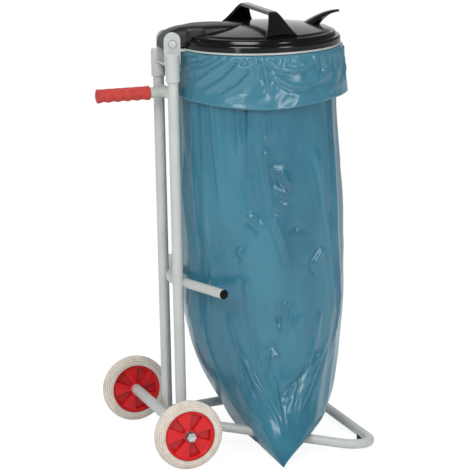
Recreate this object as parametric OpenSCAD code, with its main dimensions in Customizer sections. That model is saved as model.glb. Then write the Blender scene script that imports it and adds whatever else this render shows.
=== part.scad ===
// Wheeled waste sack stand: a tube frame on two wheels, a ring that holds a
// 120 litre sack open, and a hinged lid with its own handle.
// X points forward, Y to the left, Z up. Lengths are in millimetres.
// Inside the modules X is counted from the axle; placed() moves the finished
// piece so that the origin is under the middle of the whole stand.

/* [Frame tubes] */
// Diameter of the uprights, the axle tube, the rung and the handle tube
frame_tube_d = 25; // [22:0.5:28]
// Distance of the uprights in front of the axle
upright_x = 33; // [30:0.5:38]
// Spacing of the two uprights, centre to centre
upright_pitch = 112.6; // [106:0.2:120]
// Height of the lower ends of the uprights
upright_foot_z = 66; // [58:1:72]
// Height of the rung between the uprights and of the handle tube
rung_z = 831.5; // [780:0.5:840]

/* [Handle grip] */
// Distance of the rear end of the grip behind the axle
grip_rear = 134; // [110:1:160]
// Length of the grip
grip_len = 128; // [100:1:135]
// Largest diameter of the grip
grip_d = 33; // [31:0.5:38]
// Depth of the finger waves on the grip
grip_wave = 1.8; // [0.5:0.1:2]
// Number of finger waves on the grip
grip_waves = 5; // [3:1:7]
// Thickness of the closed rear end of the grip
grip_end_t = 5; // [3:0.5:8]

/* [Base loop] */
// Diameter of the bent tube that lies on the floor side of the stand
loop_tube_d = 22; // [18:0.5:24]
// Distance of the front crossbar in front of the axle
loop_front_x = 446.5; // [420:0.5:470]
// Height of the front crossbar's centre
loop_front_z = 15; // [14:0.5:18]
// Height of the side bars' centre where they pass the uprights
loop_rear_z = 63; // [60:0.5:68]
// Distance of the point where the side bars pass the uprights, from the axle
loop_pass_x = 45; // [40:0.5:50]
// Distance of each side bar's centre from the middle plane at that point
loop_pass_y = 56.3; // [53:0.1:60]
// Distance of the sharp corner of the loop from the middle plane
loop_corner_y = 289; // [270:1:305]
// Bend radius of the two front corners
loop_bend_r = 60; // [45:1:75]
// Distance of each glide from the middle plane
glide_y = 153; // [120:1:165]
// Length of a glide along the crossbar
glide_len = 26; // [18:1:34]
// Width of a glide across the crossbar
glide_w = 21; // [16:0.5:24]
// Height of a glide
glide_h = 12; // [8:0.5:13]

/* [Cradle bar] */
// Diameter of the V shaped bar that keeps the sack forward
cradle_d = 22; // [18:0.5:24]
// Height of the cradle bar
cradle_z = 394.4; // [350:0.2:430]
// Distance of the point of the V from the axle
cradle_vertex_x = 32.2; // [28:0.2:38]
// Angle of each arm forward of square
cradle_angle = 17.2; // [12:0.2:22]
// Reach of each arm from the point of the V
cradle_arm = 212.3; // [180:0.1:240]
// Bend radius in the middle of the cradle bar
cradle_bend_r = 70; // [50:1:100]
// Thickness of the head of an end plug
plug_head = 5.5; // [3:0.5:9]
// Diameter of the shank of an end plug
plug_shank_d = 18; // [10:0.5:19]
// Depth of an end plug's shank in the bar
plug_depth = 20; // [10:1:30]

/* [Wheels] */
// Diameter of a wheel over its tyre
wheel_d = 160; // [150:1:180]
// Distance of each wheel's middle from the middle plane
wheel_y = 214.5; // [190:0.5:240]
// Width of the tyre
tyre_w = 32; // [26:1:36]
// Radius of the hub's rim, where the tyre sits
hub_rim_r = 58; // [52:0.5:60]
// Width of the hub's rim
hub_rim_w = 26; // [20:1:30]
// Width of the hub at its bore
hub_boss_w = 30; // [24:1:34]
// Radius of the hub's boss
hub_boss_r = 13; // [11:0.5:16]
// Radius of the outer edge of the wedge pockets
hub_pocket_r = 50; // [40:0.5:51]
// Depth of a wedge pocket
hub_pocket_depth = 9; // [4:0.5:9.5]
// Width of a wedge pocket, as an angle
hub_pocket_angle = 32; // [20:1:44]
// Number of wedge pockets on each side of a hub
hub_pockets = 5; // [4:1:7]
// Turn of the first pocket from straight up
hub_pocket_turn = 22; // [0:1:71]
// Diameter of the axle rod
axle_rod_d = 12; // [10:0.5:14]
// Running clearance of the bores, on the radius
bore_gap = 0.05; // [0.02:0.01:0.1]
// Axial clearance on each side of a hub
side_gap = 0.3; // [0.1:0.1:1]
// Diameter of the axle washers
axle_washer_d = 25; // [22:0.5:30]
// Thickness of the axle washers
axle_washer_t = 2.5; // [1.5:0.1:4]
// Width of the axle nuts across the flats
axle_nut_af = 19; // [18:0.5:22]
// Height of the axle nuts
axle_nut_h = 10; // [7:0.5:12]
// Length of the axle rod beyond each nut
axle_tail = 2; // [1:0.5:6]

/* [Sack ring] */
// Distance of the ring's rear edge from the axle
ring_rear_x = 72; // [69:0.5:87]
// Height of the upper face of the ring's flange
ring_z = 931; // [880:0.5:950]
// Outer radius of the ring's flange
ring_flange_r = 188; // [187:0.5:192]
// Thickness of the ring's flange
ring_flange_t = 5.5; // [3:0.5:8]
// Overhang of the ring's flange beyond its band
ring_lip = 5; // [4:0.5:10]
// Wall of the ring's band
ring_band_t = 3; // [2:0.5:5]
// Height of the ring's band below the flange
ring_band_h = 25; // [18:1:34]

/* [Ring bracket] */
// Outer diameter of the sleeves on the upright tops
sleeve_d = 32; // [29:0.5:36]
// Length of the sleeves
sleeve_len = 63; // [45:1:75]
// Thickness of a sleeve's closed top
sleeve_cap = 3; // [2:0.5:6]
// Drop of the sleeve tops below the ring's flange
sleeve_drop = 7; // [5:0.5:14]
// Width of the bracket cheeks
cheek_w = 39; // [34:0.5:42]
// Thickness of the bracket cheeks
cheek_t = 2.5; // [2:0.1:4]
// Gap between the two cheeks
cheek_gap = 55; // [50:0.5:60]
// Thickness of the bracket's bridge plate
bridge_t = 5; // [3:0.5:8]
// Drop of the bridge plate's top below the ring's flange
bridge_drop = 30; // [26:0.5:40]

/* [Lid hinge] */
// Distance of the lid's hinge from the axle
pivot_x = 41.5; // [39:0.5:44]
// Height of the lid's hinge above the ring's flange
pivot_rise = 13; // [11:0.5:16]
// Diameter of the hinge bolt
pivot_d = 8; // [6:0.5:10]
// Diameter of the hinge bolt's head
pivot_head_d = 18; // [14:0.5:20]
// Thickness of the hinge bolt's head
pivot_head_t = 4; // [3:0.5:6]
// Width of the hinge nut across the flats
pivot_nut_af = 13; // [12:0.5:16]
// Height of the hinge nut
pivot_nut_h = 6.5; // [5:0.5:8]

/* [Lid] */
// Inset of the lid's skirt from the ring's edge
lid_inset = 1; // [0:0.5:3]
// Wall of the lid
lid_t = 3; // [2:0.5:4]
// Gap between the closed lid and the ring
lid_gap = 0.3; // [0.2:0.1:1]
// Height of the lid's straight skirt
skirt_h = 12.5; // [9:0.5:15]
// Width of the two rolled steps, from the skirt in to the dished crown
crown_inset = 26; // [22:1:37]
// Rise of the crown's edge above the lid's lower edge
crown_edge = 31.5; // [26:0.5:36]
// Rise of the crown's middle above the crown's edge
crown_rise = 15; // [8:0.5:18]
// Side clearance between the hood and the bracket cheeks
hood_side_gap = 0.5; // [0.3:0.1:1]
// Width of the hood where it lies on the lid
hood_w = 90; // [70:1:110]
// Reach of the hood in front of the hinge
hood_reach = 160; // [130:1:180]
// Height of the hood's top above the hinge
hood_rise = 39; // [38:0.5:44]
// Width of the root of the opening tab
tab_root_w = 62; // [50:1:76]
// Width of the tip of the opening tab
tab_tip_w = 22; // [14:1:34]
// Reach of the tab's tip beyond the lid's skirt
tab_reach = 9; // [-7:1:10]
// Height of the tab's tip above the lid's lower edge
tab_tip_rise = 64.5; // [58:0.5:70]

/* [Lid handle] */
// Height of the handle's top above the lid's lower edge
handle_rise = 82.5; // [74:0.5:90]
// Width of the handle's bar from front to back
handle_bar_w = 27; // [22:0.5:34]
// Thickness of the handle's bar
handle_bar_t = 12; // [8:0.5:16]
// Run of each sloping leg, from the straight top out to the foot's end
handle_leg_run = 58; // [51:1:76]
// Distance of each foot's outer end inside the crown's edge
handle_foot_inset = 5; // [3:1:16]
// Width of each foot from front to back
handle_foot_w = 72; // [50:1:84]
// Diameter of the screws in the handle's feet
handle_screw_d = 5; // [4:0.5:6]
// Diameter of the screw heads
handle_screw_head_d = 10; // [8:0.5:12]
// Height of the screw heads
handle_screw_head_h = 3.5; // [2.5:0.5:5]
// Distance of the screws inside the outer ends of the feet
handle_screw_inset = 13; // [9:1:18]
// Length of a screw's shank
handle_screw_len = 9; // [7:0.5:10]

/* [Sack] */
// How much wider than the ring's flange the sack hangs, on the radius
sack_ease = 1; // [-1:0.5:6]
// Thickness of the sack's film wall
film_t = 1.2; // [0.8:0.1:2]
// Gap between the film and the pieces that it lies on
film_gap = 0.3; // [0.2:0.1:0.6]
// Height at which the sack begins to flatten towards its seam
flatten_z = 340; // [280:5:420]
// Half the width of the flattened bottom seam
seam_half = 309; // [260:1:310]
// Distance of the bottom seam behind the ring's centre
seam_back = 65; // [30:1:90]
// Height of the seam's right tip
seam_right_z = 5; // [3:1:20]
// Height of the seam inside the base loop
seam_mid_z = 16; // [8:1:30]
// Height of the seam's left tip
seam_left_z = 147; // [100:1:180]
// Length of the cuff folded down outside the ring
cuff_len = 107; // [70:1:140]
// Flare of the cuff's lower edge beyond the sack
cuff_flare = 11.6; // [6:0.1:18]
// Height of the waves along the cuff's lower edge
cuff_wave = 4; // [0:0.5:6]
// Thickness of the rubber band under the cuff
band_t = 4; // [2:0.5:5]
// Height of the rubber band under the cuff
band_h = 8; // [4:0.5:12]

/* [Hidden] */
$fn = 96;
paint = [0.79, 0.79, 0.77];
black = [0.06, 0.06, 0.07];
red = [0.80, 0.10, 0.10];
zinc = [0.75, 0.77, 0.78];
wheel_r = wheel_d / 2;
axle_z = wheel_r;
tube_r = frame_tube_d / 2;
loop_r = loop_tube_d / 2;
half_pitch = upright_pitch / 2;
ring_x = ring_rear_x + ring_flange_r;
ring_band_r = ring_flange_r - ring_lip;
lid_r = ring_flange_r - lid_inset;
crown_r = lid_r - crown_inset;
tab_tip_x = lid_r + tab_reach;
handle_foot_y = crown_r - handle_foot_inset;
handle_top_len = 2 * (handle_foot_y - handle_leg_run);
handle_screw_y = handle_foot_y - handle_screw_inset;
sack_r = ring_flange_r + sack_ease;
seam_x = ring_x - seam_back;
// Number of sides of the film's rings, and the radius of a ring whose flats lie at r
film_n = 48;
function corner(r) = r / cos(180 / film_n);
// Radii of the film, the rubber band and the folded cuff, from the ring outwards
film_in = ring_band_r + film_gap;
film_out = film_in + film_t;
band_in = corner(film_out) + film_gap;
band_out = band_in + band_t;
cuff_in = band_out + film_gap;
cuff_out = cuff_in + film_t;
// Middle between the grip's rear end and the foremost piece, cuff or crossbar
front_x = max(loop_front_x + loop_r, ring_x + cuff_out + cuff_flare + cuff_wave);
mid_x = (front_x - grip_rear) / 2;
sleeve_top = ring_z - sleeve_drop;
upright_top = sleeve_top - sleeve_cap;
pivot_z = ring_z + pivot_rise;
lid_z = ring_z + lid_gap;
crown_z = lid_z + crown_edge;
bridge_z = ring_z - bridge_drop;
cheek_out = cheek_gap / 2 + cheek_t;
axle_nut_y = wheel_y + hub_boss_w / 2 + side_gap + axle_washer_t;
axle_half = axle_nut_y + axle_nut_h + axle_tail;
axle_tube_half = wheel_y - hub_boss_w / 2 - side_gap;
// Slope of the base loop's plane and the course of its side bars in it
loop_slope = atan((loop_rear_z - loop_front_z) / (loop_front_x - loop_pass_x));
loop_run = (loop_front_x - loop_pass_x) / cos(loop_slope);
loop_splay = atan((loop_corner_y - loop_pass_y) / loop_run);
loop_side = norm([loop_run, loop_corner_y - loop_pass_y]);
loop_tangent = loop_bend_r * tan((90 + loop_splay) / 2);
// Length of a side bar behind the passing point, back to the axle tube
loop_back = (loop_pass_x - 6) / cos(loop_splay);

module placed() translate([-mid_x, 0, 0]) children();

module mirrored(side) mirror([0, side < 0 ? 1 : 0, 0]) children();

module rod_x(d, len) rotate([0, 90, 0]) cylinder(d = d, h = len);

module rod_y(d, half) rotate([90, 0, 0]) cylinder(d = d, h = 2 * half, center = true);

module upright_core(side) {
    translate([upright_x, side * half_pitch, 0])
        cylinder(d = frame_tube_d, h = upright_top);
}

module axle_core() translate([0, 0, axle_z]) rod_y(frame_tube_d, axle_tube_half);

module rung_core() translate([upright_x, 0, rung_z]) rod_y(frame_tube_d, half_pitch);

// Frame of the base loop's plane, with its origin between the passing points
module loop_plane() {
    translate([loop_pass_x, 0, loop_rear_z]) rotate([0, loop_slope, 0]) children();
}

// Left side bar, straight from the axle tube to the start of the corner bend
module loop_side_bar(d) {
    translate([0, loop_pass_y, 0]) rotate([0, 0, loop_splay])
        translate([-loop_back, 0, 0]) rod_x(d, loop_back + loop_side - loop_tangent);
}

// Points of an arc about the centre c, from the angle a to the angle b
function arc(c, r, a, b, steps) =
    [for (i = [0 : steps]) let (t = a + (b - a) * i / steps) [c[0] + r * cos(t), c[1] + r * sin(t)]];

// A course on one side of the middle, carried on by its own mirror image
function both_sides(half) =
    concat(half, [for (i = [len(half) - 1 : -1 : 0]) [half[i][0], -half[i][1]]]);

function unit(v) = v / norm(v);

// Ring of n points round a flat course at its point i, square to the course
function tube_ring(course, i, r, n) =
    let (last = len(course) - 1,
         from = unit(course[max(i, 1)] - course[max(i, 1) - 1]),
         to = unit(course[min(i + 1, last)] - course[min(i + 1, last) - 1]),
         mid = unit(from + to),
         wide = r / sqrt((1 + from * to) / 2))
    [for (k = [0 : n - 1]) let (a = 360 * k / n)
        [course[i][0] - wide * cos(a) * mid[1], course[i][1] + wide * cos(a) * mid[0], r * sin(a)]];

module bent_tube(course, d) {
    n = 32;
    skin([for (i = [0 : len(course) - 1]) tube_ring(course, i, d / 2, n)], n);
}

loop_half = concat(
    [[0, loop_pass_y] - loop_back * [cos(loop_splay), sin(loop_splay)]],
    arc([loop_run - loop_bend_r, loop_corner_y - loop_tangent], loop_bend_r, 90 + loop_splay, 0, 16));

module base_loop_bar() loop_plane() bent_tube(both_sides(loop_half), loop_tube_d);

module upright(side) {
    color(paint) placed() difference() {
        translate([upright_x, side * half_pitch, upright_foot_z])
            cylinder(d = frame_tube_d, h = upright_top - upright_foot_z);
        loop_plane() mirrored(side) loop_side_bar(loop_tube_d);
    }
}

module left_upright() upright(1);

module right_upright() upright(-1);

module axle_tube() {
    color(paint) placed() difference() {
        axle_core();
        translate([0, 0, axle_z]) rod_y(axle_rod_d + 2 * bore_gap, axle_tube_half + 1);
    }
}

module axle_rod() {
    color(zinc) placed() translate([0, 0, axle_z]) rod_y(axle_rod_d, axle_half);
}

module base_loop() {
    color(paint) placed() difference() {
        base_loop_bar();
        axle_core();
    }
}

module glide(side) {
    color(black) placed() difference() {
        translate([loop_front_x - glide_w / 2, side * glide_y - glide_len / 2, 0])
            cube([glide_w, glide_len, glide_h]);
        translate([loop_front_x, side * glide_y, loop_front_z])
            rod_y(loop_tube_d, glide_len);
    }
}

module left_glide() glide(1);

module right_glide() glide(-1);

module rung() {
    color(paint) placed() difference() {
        rung_core();
        for (side = [-1, 1]) upright_core(side);
    }
}

module handle_tube() {
    color(paint) placed() difference() {
        translate([grip_end_t - grip_rear, 0, rung_z])
            rod_x(frame_tube_d, upright_x + grip_rear - grip_end_t);
        rung_core();
    }
}

// Radius of the grip at the share s of its length from the rear end
function grip_radius(s) =
    grip_d / 2 - (s < 0.08 || s > 0.92 ? 0 : grip_wave * (0.5 + 0.5 * cos(360 * grip_waves * (s - 0.08) / 0.84)));

module handle_grip() {
    steps = 60;
    edge = 3;
    outline = concat([[0, 0], [grip_d / 2 - edge, 0], [grip_d / 2 - 1, 1]],
        [for (i = [2 : steps - 1]) [grip_radius(i / steps), grip_len * i / steps]],
        [[grip_d / 2 - 1, grip_len], [0, grip_len]]);
    color(red) placed() translate([-grip_rear, 0, rung_z]) rotate([0, 90, 0]) difference() {
        rotate_extrude() polygon(outline);
        translate([0, 0, grip_end_t])
            cylinder(d = frame_tube_d + 2 * bore_gap, h = grip_len);
    }
}

// Course of the cradle bar: a shallow V with a bend in its middle
cradle_half = concat(
    [[cradle_vertex_x + cradle_arm * sin(cradle_angle), cradle_arm * cos(cradle_angle)]],
    arc([cradle_vertex_x + cradle_bend_r / cos(cradle_angle), 0], cradle_bend_r,
        180 - cradle_angle, 180 - cradle_angle / 8, 5));

module cradle_arm_frame(side) {
    mirrored(side) translate([cradle_vertex_x, 0, cradle_z])
        rotate([0, 0, 90 - cradle_angle]) children();
}

module cradle_bar() {
    color(paint) placed() difference() {
        translate([0, 0, cradle_z]) bent_tube(both_sides(cradle_half), cradle_d);
        for (side = [-1, 1]) {
            upright_core(side);
            cradle_arm_frame(side) translate([cradle_arm - plug_depth - 0.5, 0, 0])
                rod_x(plug_shank_d + 2 * bore_gap, plug_depth + 2);
        }
    }
}

module arm_plug(side) {
    rim = 1.5;
    outline = [[0, -plug_depth], [plug_shank_d / 2, -plug_depth], [plug_shank_d / 2, 0],
        [cradle_d / 2, 0], [cradle_d / 2, rim],
        for (a = [15 : 15 : 75])
            [cradle_d / 2 * cos(a), rim + (plug_head - rim) * sin(a)],
        [0, plug_head]];
    color(black) placed() cradle_arm_frame(side) translate([cradle_arm, 0, 0])
        rotate([0, 90, 0]) rotate_extrude() polygon(outline);
}

module left_arm_plug() arm_plug(1);

module right_arm_plug() arm_plug(-1);

module sleeve(side) {
    color(paint) placed() translate([upright_x, side * half_pitch, sleeve_top - sleeve_len])
        difference() {
            cylinder(d = sleeve_d, h = sleeve_len);
            translate([0, 0, -1])
                cylinder(d = frame_tube_d + 2 * bore_gap, h = sleeve_len - sleeve_cap + 1);
        }
}

module left_sleeve() sleeve(1);

module right_sleeve() sleeve(-1);

// Outline of one bracket cheek, seen from the side
module cheek_outline() {
    shoulder = pivot_z + 7;
    translate([pivot_x - cheek_w / 2, bridge_z - bridge_t])
        square([cheek_w, shoulder - bridge_z + bridge_t]);
    translate([pivot_x, shoulder]) circle(d = cheek_w);
}

module ring_bracket() {
    shelf_x = pivot_x + 17;
    color(paint) placed() difference() {
        union() {
            for (side = [-1, 1])
                translate([0, side * (cheek_out - cheek_t / 2), 0]) rotate([90, 0, 0])
                    linear_extrude(cheek_t, center = true) cheek_outline();
            translate([pivot_x - cheek_w / 2, -half_pitch, bridge_z - bridge_t])
                cube([upright_x + sleeve_d / 2 - pivot_x + cheek_w / 2, upright_pitch, bridge_t]);
            translate([shelf_x, -cheek_out, ring_z - ring_flange_t])
                cube([ring_x - ring_flange_r - shelf_x + 8, 2 * cheek_out, ring_flange_t]);
        }
        for (side = [-1, 1]) translate([upright_x, side * half_pitch, sleeve_top - sleeve_len])
            cylinder(d = sleeve_d, h = sleeve_len);
        translate([ring_x, 0, ring_z - ring_flange_t - 1])
            cylinder(r = ring_flange_r, h = ring_flange_t + 2, $fn = 180);
        translate([pivot_x, 0, pivot_z]) rod_y(pivot_d + 2 * bore_gap, cheek_out + 1);
    }
}

module sack_ring() {
    inner_r = ring_band_r - ring_band_t;
    bead = ring_band_t / 2;
    color(paint) placed() translate([ring_x, 0, ring_z]) rotate_extrude($fn = 180)
        polygon([[inner_r, -ring_flange_t - ring_band_h], [ring_band_r, -ring_flange_t - ring_band_h],
            [ring_band_r, -ring_flange_t], [ring_flange_r, -ring_flange_t], [ring_flange_r, -bead],
            [ring_flange_r - bead, 0], [inner_r + bead, 0], [inner_r, -bead]]);
}

fold_z = ring_z - ring_flange_t - film_gap;
band_top = fold_z - film_t - film_gap;

module sack_band() {
    color([0.15, 0.15, 0.15]) placed() translate([ring_x, 0, band_top - band_h]) difference() {
        cylinder(r = band_out, h = band_h, $fn = 180);
        translate([0, 0, -1]) cylinder(r = band_in, h = band_h + 2, $fn = 180);
    }
}

// Height of the bottom seam at the distance y from the middle plane
function seam_z(y) = y < 0
    ? seam_mid_z + (seam_right_z - seam_mid_z) * pow(-y / seam_half, 2)
    : seam_mid_z + (seam_left_z - seam_mid_z) * pow(y / seam_half, 1.8);

// How far the wall at the angle a has run from its circle to the seam at t
function gather(t, a) =
    let (early = 0.64 - 0.44 * cos(a))
    early * pow(t, 1.66 - 0.34 * cos(a)) + (1 - early) * pow(t, 14);

// Point of the flattening part: share t of the way down at the angle a
function low_point(t, a, shrink) =
    let (w = gather(t, a), v = pow(t, 4),
         top = [ring_x + (sack_r - shrink) * cos(a), (sack_r - shrink) * sin(a)],
         end_y = (seam_half - 8 * shrink) * sin(a),
         end_x = seam_x + (4 - 2 * shrink) * cos(a))
    [top[0] + (end_x - top[0]) * w, top[1] + (end_y - top[1]) * v,
     flatten_z + (seam_z(end_y) + 3 * shrink - flatten_z) * t];

function level(r, z, n) = [for (i = [0 : n - 1]) [ring_x + r * cos(360 * i / n), r * sin(360 * i / n), z]];

// Closed solid through rings of n points each, capped at both ends
module skin(rings, n) {
    points = [for (ring = rings) each ring];
    last = len(rings) - 1;
    faces = concat([[for (i = [0 : n - 1]) i]],
        [for (k = [0 : last - 1], i = [0 : n - 1]) let (j = (i + 1) % n)
            each [[k * n + i, (k + 1) * n + i, (k + 1) * n + j], [k * n + i, (k + 1) * n + j, k * n + j]]],
        [[for (i = [n - 1 : -1 : 0]) last * n + i]]);
    polyhedron(points, faces, convexity = 10);
}

// Body of the sack as a full solid, smaller all round by shrink
module sack_body(shrink, top_r, top_z) {
    n = film_n;
    steps = 12;
    neck_z = ring_z - ring_flange_t - ring_band_h;
    skin(concat(
        [for (k = [steps : -1 : 1]) let (t = 1 - pow(1 - k / steps, 1.6))
            [for (i = [0 : n - 1]) low_point(t, 360 * i / n, shrink)]],
        [level(sack_r - shrink, flatten_z, n), level(sack_r - shrink, neck_z - 70, n),
            level(top_r, neck_z, n), level(top_r, top_z, n)]), n);
}

// Room that the side bars of the base loop take under the sack, in short lengths
module loop_slots(gap) {
    spans = 4;
    run = loop_back + loop_side - loop_tangent;
    loop_plane() for (side = [-1, 1]) mirrored(side)
        translate([0, loop_pass_y, 0]) rotate([0, 0, loop_splay]) translate([-loop_back, 0, 0])
            for (i = [0 : spans - 1]) hull() for (drop = [0, 120])
                translate([run * i / spans, 0, -drop])
                    rod_x(loop_tube_d + 2 * gap, run / spans, $fn = 24);
}

// Cuff as a ring: folded over the rubber band and hanging outside the sack
module cuff() {
    n = film_n;
    seam_r = corner(film_in + film_t / 2);
    low = fold_z - cuff_len;
    rings = [
        [for (i = [0 : n - 1]) cuff_point(cuff_out + cuff_flare, low, 360 * i / n)],
        level(corner(cuff_out) + 1, fold_z - film_t, n), level(corner(cuff_out), fold_z, n)];
    inner = [
        [for (i = [0 : n - 1]) cuff_point(cuff_in + cuff_flare, low - 1, 360 * i / n)],
        level(corner(cuff_in) + 1, fold_z - 2 * film_t, n), level(corner(cuff_in), fold_z - film_t, n)];
    difference() {
        skin(rings, n);
        skin(inner, n);
        skin([level(seam_r, low - 50, n), level(seam_r, fold_z + 5, n)], n);
    }
}

// Lower edge of the cuff, a little wavy and longer at the front
function cuff_point(r, z, a) =
    let (wave = cuff_wave * cos(5 * a))
    [ring_x + (r + wave) * cos(a), (r + wave) * sin(a), z - 9 * cos(a)];

module sack() {
    color([0.25, 0.50, 0.58]) placed() {
        difference() {
            sack_body(0, corner(film_out), fold_z - film_t / 3);
            loop_slots(1);
            difference() {
                sack_body(film_t, corner(film_in), fold_z + 5);
                loop_slots(1 + film_t);
            }
        }
        cuff();
    }
}

module pivot_bolt() {
    head_y = -cheek_out - pivot_head_t;
    color(zinc) placed() translate([pivot_x, 0, pivot_z]) rotate([-90, 0, 0]) {
        translate([0, 0, head_y]) cylinder(d = pivot_head_d, h = pivot_head_t);
        translate([0, 0, -cheek_out])
            cylinder(d = pivot_d, h = 2 * cheek_out + pivot_nut_h + 2);
    }
}

module pivot_nut() {
    color(zinc) placed() translate([pivot_x, cheek_out, pivot_z]) rotate([-90, 0, 0]) difference() {
        cylinder(d = pivot_nut_af / cos(30), h = pivot_nut_h, $fn = 6);
        translate([0, 0, -1]) cylinder(d = pivot_d + 2 * bore_gap, h = pivot_nut_h + 2);
    }
}

// Outline of half the lid's bowl, closed along its lower edge
module lid_outline(shrink) {
    steps = 12;
    r = lid_r - shrink;
    top = lid_z - shrink;
    polygon(concat(
        [[0, lid_z - 1 - shrink], [r, lid_z - (shrink > 0 ? 1 + shrink : 0)], [r, top + skirt_h],
            [r - 1.5, top + skirt_h + 2.5], [r - 5, top + skirt_h + 4.2], [r - 9, top + skirt_h + 4.6],
            [r - 10, top + skirt_h + 8], [r - 11.5, top + skirt_h + 11.5],
            [r - 14, top + skirt_h + 13.4], [r - 18, top + skirt_h + 14.2],
            [crown_r + 4, crown_z - shrink - 1]],
        [for (i = [0 : steps]) let (s = 1 - i / steps)
            [crown_r * s, crown_z - shrink + crown_rise * (1 - s * s)]]));
}

module lid_bowl(shrink) {
    translate([ring_x, 0, 0]) rotate_extrude($fn = 180) lid_outline(shrink);
}

// Side outline of the hood that reaches back to the hinge, from the hinge's axis
function hood_side(wall) = [
    [-19.5 + wall, -9], [-19.5 + wall, 3], [-14.5 + wall, 16 - wall / 2], [3.5, 30.5 - wall],
    [22.5, hood_rise - 3.4 - wall], [55.5, hood_rise - 0.7 - wall], [91.5, hood_rise - wall],
    [hood_reach - 25, hood_rise - 1.5 - wall], [hood_reach - wall, hood_rise - 8 - wall],
    [hood_reach - wall, 10], [60, 10], [34, -9]];

// Plan of the hood: narrow between the cheeks, wide on the lid, round in front
module hood_plan(wall) {
    narrow = cheek_gap / 2 - hood_side_gap - wall;
    wide = hood_w / 2 - wall;
    front = hood_reach - wide - wall;
    polygon([[-19.5 + wall, -narrow], [31, -narrow], [70, -wide], [front, -wide],
        [front, wide], [70, wide], [31, narrow], [-19.5 + wall, narrow]]);
    translate([front, 0]) circle(r = wide);
}

module hood(wall) {
    translate([pivot_x, 0, pivot_z]) intersection() {
        rotate([90, 0, 0]) linear_extrude(hood_w + 20, center = true) polygon(hood_side(wall));
        translate([0, 0, -40]) linear_extrude(120) hood_plan(wall);
    }
}

// Opening tab at the front of the lid: a horn that rises and narrows forwards
module tab() {
    root = tab_tip_x - 103;
    rise = tab_tip_rise;
    intersection() {
        translate([ring_x, 0, lid_z]) rotate([90, 0, 0]) linear_extrude(tab_root_w + 10, center = true)
            polygon([[root, 20], [root, 31], [root + 10, rise - 27], [root + 22, rise - 20],
                [root + 38, rise - 10], [root + 55, rise - 3.5], [root + 75, rise],
                [tab_tip_x - 5, rise + 1.5], [tab_tip_x, rise], [tab_tip_x - 12, rise - 4],
                [tab_tip_x - 28, rise - 13], [tab_tip_x - 40, rise - 23],
                [tab_tip_x - 46, rise - 33], [tab_tip_x - 49, 20]]);
        translate([ring_x, 0, lid_z]) linear_extrude(120)
            polygon([[root - 1, -tab_root_w / 2], [root + 25, -tab_root_w / 2 + 3],
                [root + 60, -tab_root_w / 2 + 9], [tab_tip_x, -tab_tip_w / 2], [tab_tip_x, tab_tip_w / 2],
                [root + 60, tab_root_w / 2 - 9], [root + 25, tab_root_w / 2 - 3],
                [root - 1, tab_root_w / 2]]);
    }
}

// Height of the crown's outer face at the distance r from its middle
function crown_at(r) = crown_z + crown_rise * (1 - pow(r / crown_r, 2));

module screw_hole(side, d, depth) {
    translate([ring_x, side * handle_screw_y, crown_at(handle_screw_y) - lid_t - 8])
        cylinder(d = d, h = depth);
}

module lid() {
    color(black) placed() difference() {
        union() {
            lid_bowl(0);
            hood(0);
            tab();
        }
        lid_bowl(lid_t);
        intersection() {
            hood(lid_t);
            translate([pivot_x + 24, -hood_w, pivot_z]) cube([hood_reach, 2 * hood_w, 60]);
        }
        translate([pivot_x, 0, pivot_z]) rod_y(pivot_d + 2 * bore_gap, cheek_out);
        for (side = [-1, 1]) screw_hole(side, handle_screw_d + 2 * bore_gap, 30);
    }
}

// Front outline of the lid handle: a bridge with sloping legs and feet
module handle_front() {
    top = lid_z + handle_rise;
    half = handle_top_len / 2;
    under = top - handle_bar_t;
    reach = handle_foot_y;
    leg = handle_bar_t * 1.15;
    polygon([
        [-reach, crown_z - 4], [-reach, crown_z + 6], [-half - 18, top - 9], [-half - 8, top - 2], [-half + 4, top],
        [half - 4, top], [half + 8, top - 2], [half + 18, top - 9], [reach, crown_z + 6], [reach, crown_z - 4],
        [reach - 22, crown_z - 4], [half + 22 - leg, crown_z + 14], [half + 4 - leg, under],
        [-half - 4 + leg, under], [-half - 22 + leg, crown_z + 14], [-reach + 22, crown_z - 4]]);
}

// Plan of the lid handle: a bar that widens into a foot at each end
module handle_plan() {
    half = handle_top_len / 2;
    bar = handle_bar_w / 2;
    foot = handle_foot_w / 2;
    flare = handle_foot_y - half;
    right = [[half - 8, bar], [half + flare * 0.35, bar + (foot - bar) * 0.2],
        [half + flare * 0.7, bar + (foot - bar) * 0.6], [handle_foot_y, foot]];
    polygon(concat(
        [for (p = right) [p[1], p[0]]], [for (i = [3 : -1 : 0]) [-right[i][1], right[i][0]]],
        [for (p = right) [-p[1], -p[0]]], [for (i = [3 : -1 : 0]) [right[i][1], -right[i][0]]]));
}

module lid_handle() {
    color(black) placed() difference() {
        intersection() {
            translate([ring_x, 0, 0]) rotate([90, 0, 90])
                linear_extrude(handle_foot_w + 2, center = true) handle_front();
            translate([ring_x, 0, lid_z]) linear_extrude(handle_rise + 10) handle_plan();
        }
        lid_bowl(0);
        for (side = [-1, 1])
            screw_hole(side, handle_screw_d + 2 * bore_gap, 8 + handle_screw_len + 0.5);
    }
}

module handle_screw(side) {
    y = side * handle_screw_y;
    under = crown_at(handle_screw_y + handle_screw_head_d / 2) - lid_t - 0.3;
    color(zinc) placed() translate([ring_x, y, 0]) {
        translate([0, 0, under - handle_screw_head_h])
            cylinder(d = handle_screw_head_d, h = handle_screw_head_h, $fn = 48);
        translate([0, 0, under - 1]) cylinder(d = handle_screw_d, h = handle_screw_len, $fn = 48);
    }
}

module left_handle_screw() handle_screw(1);

module right_handle_screw() handle_screw(-1);

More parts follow.
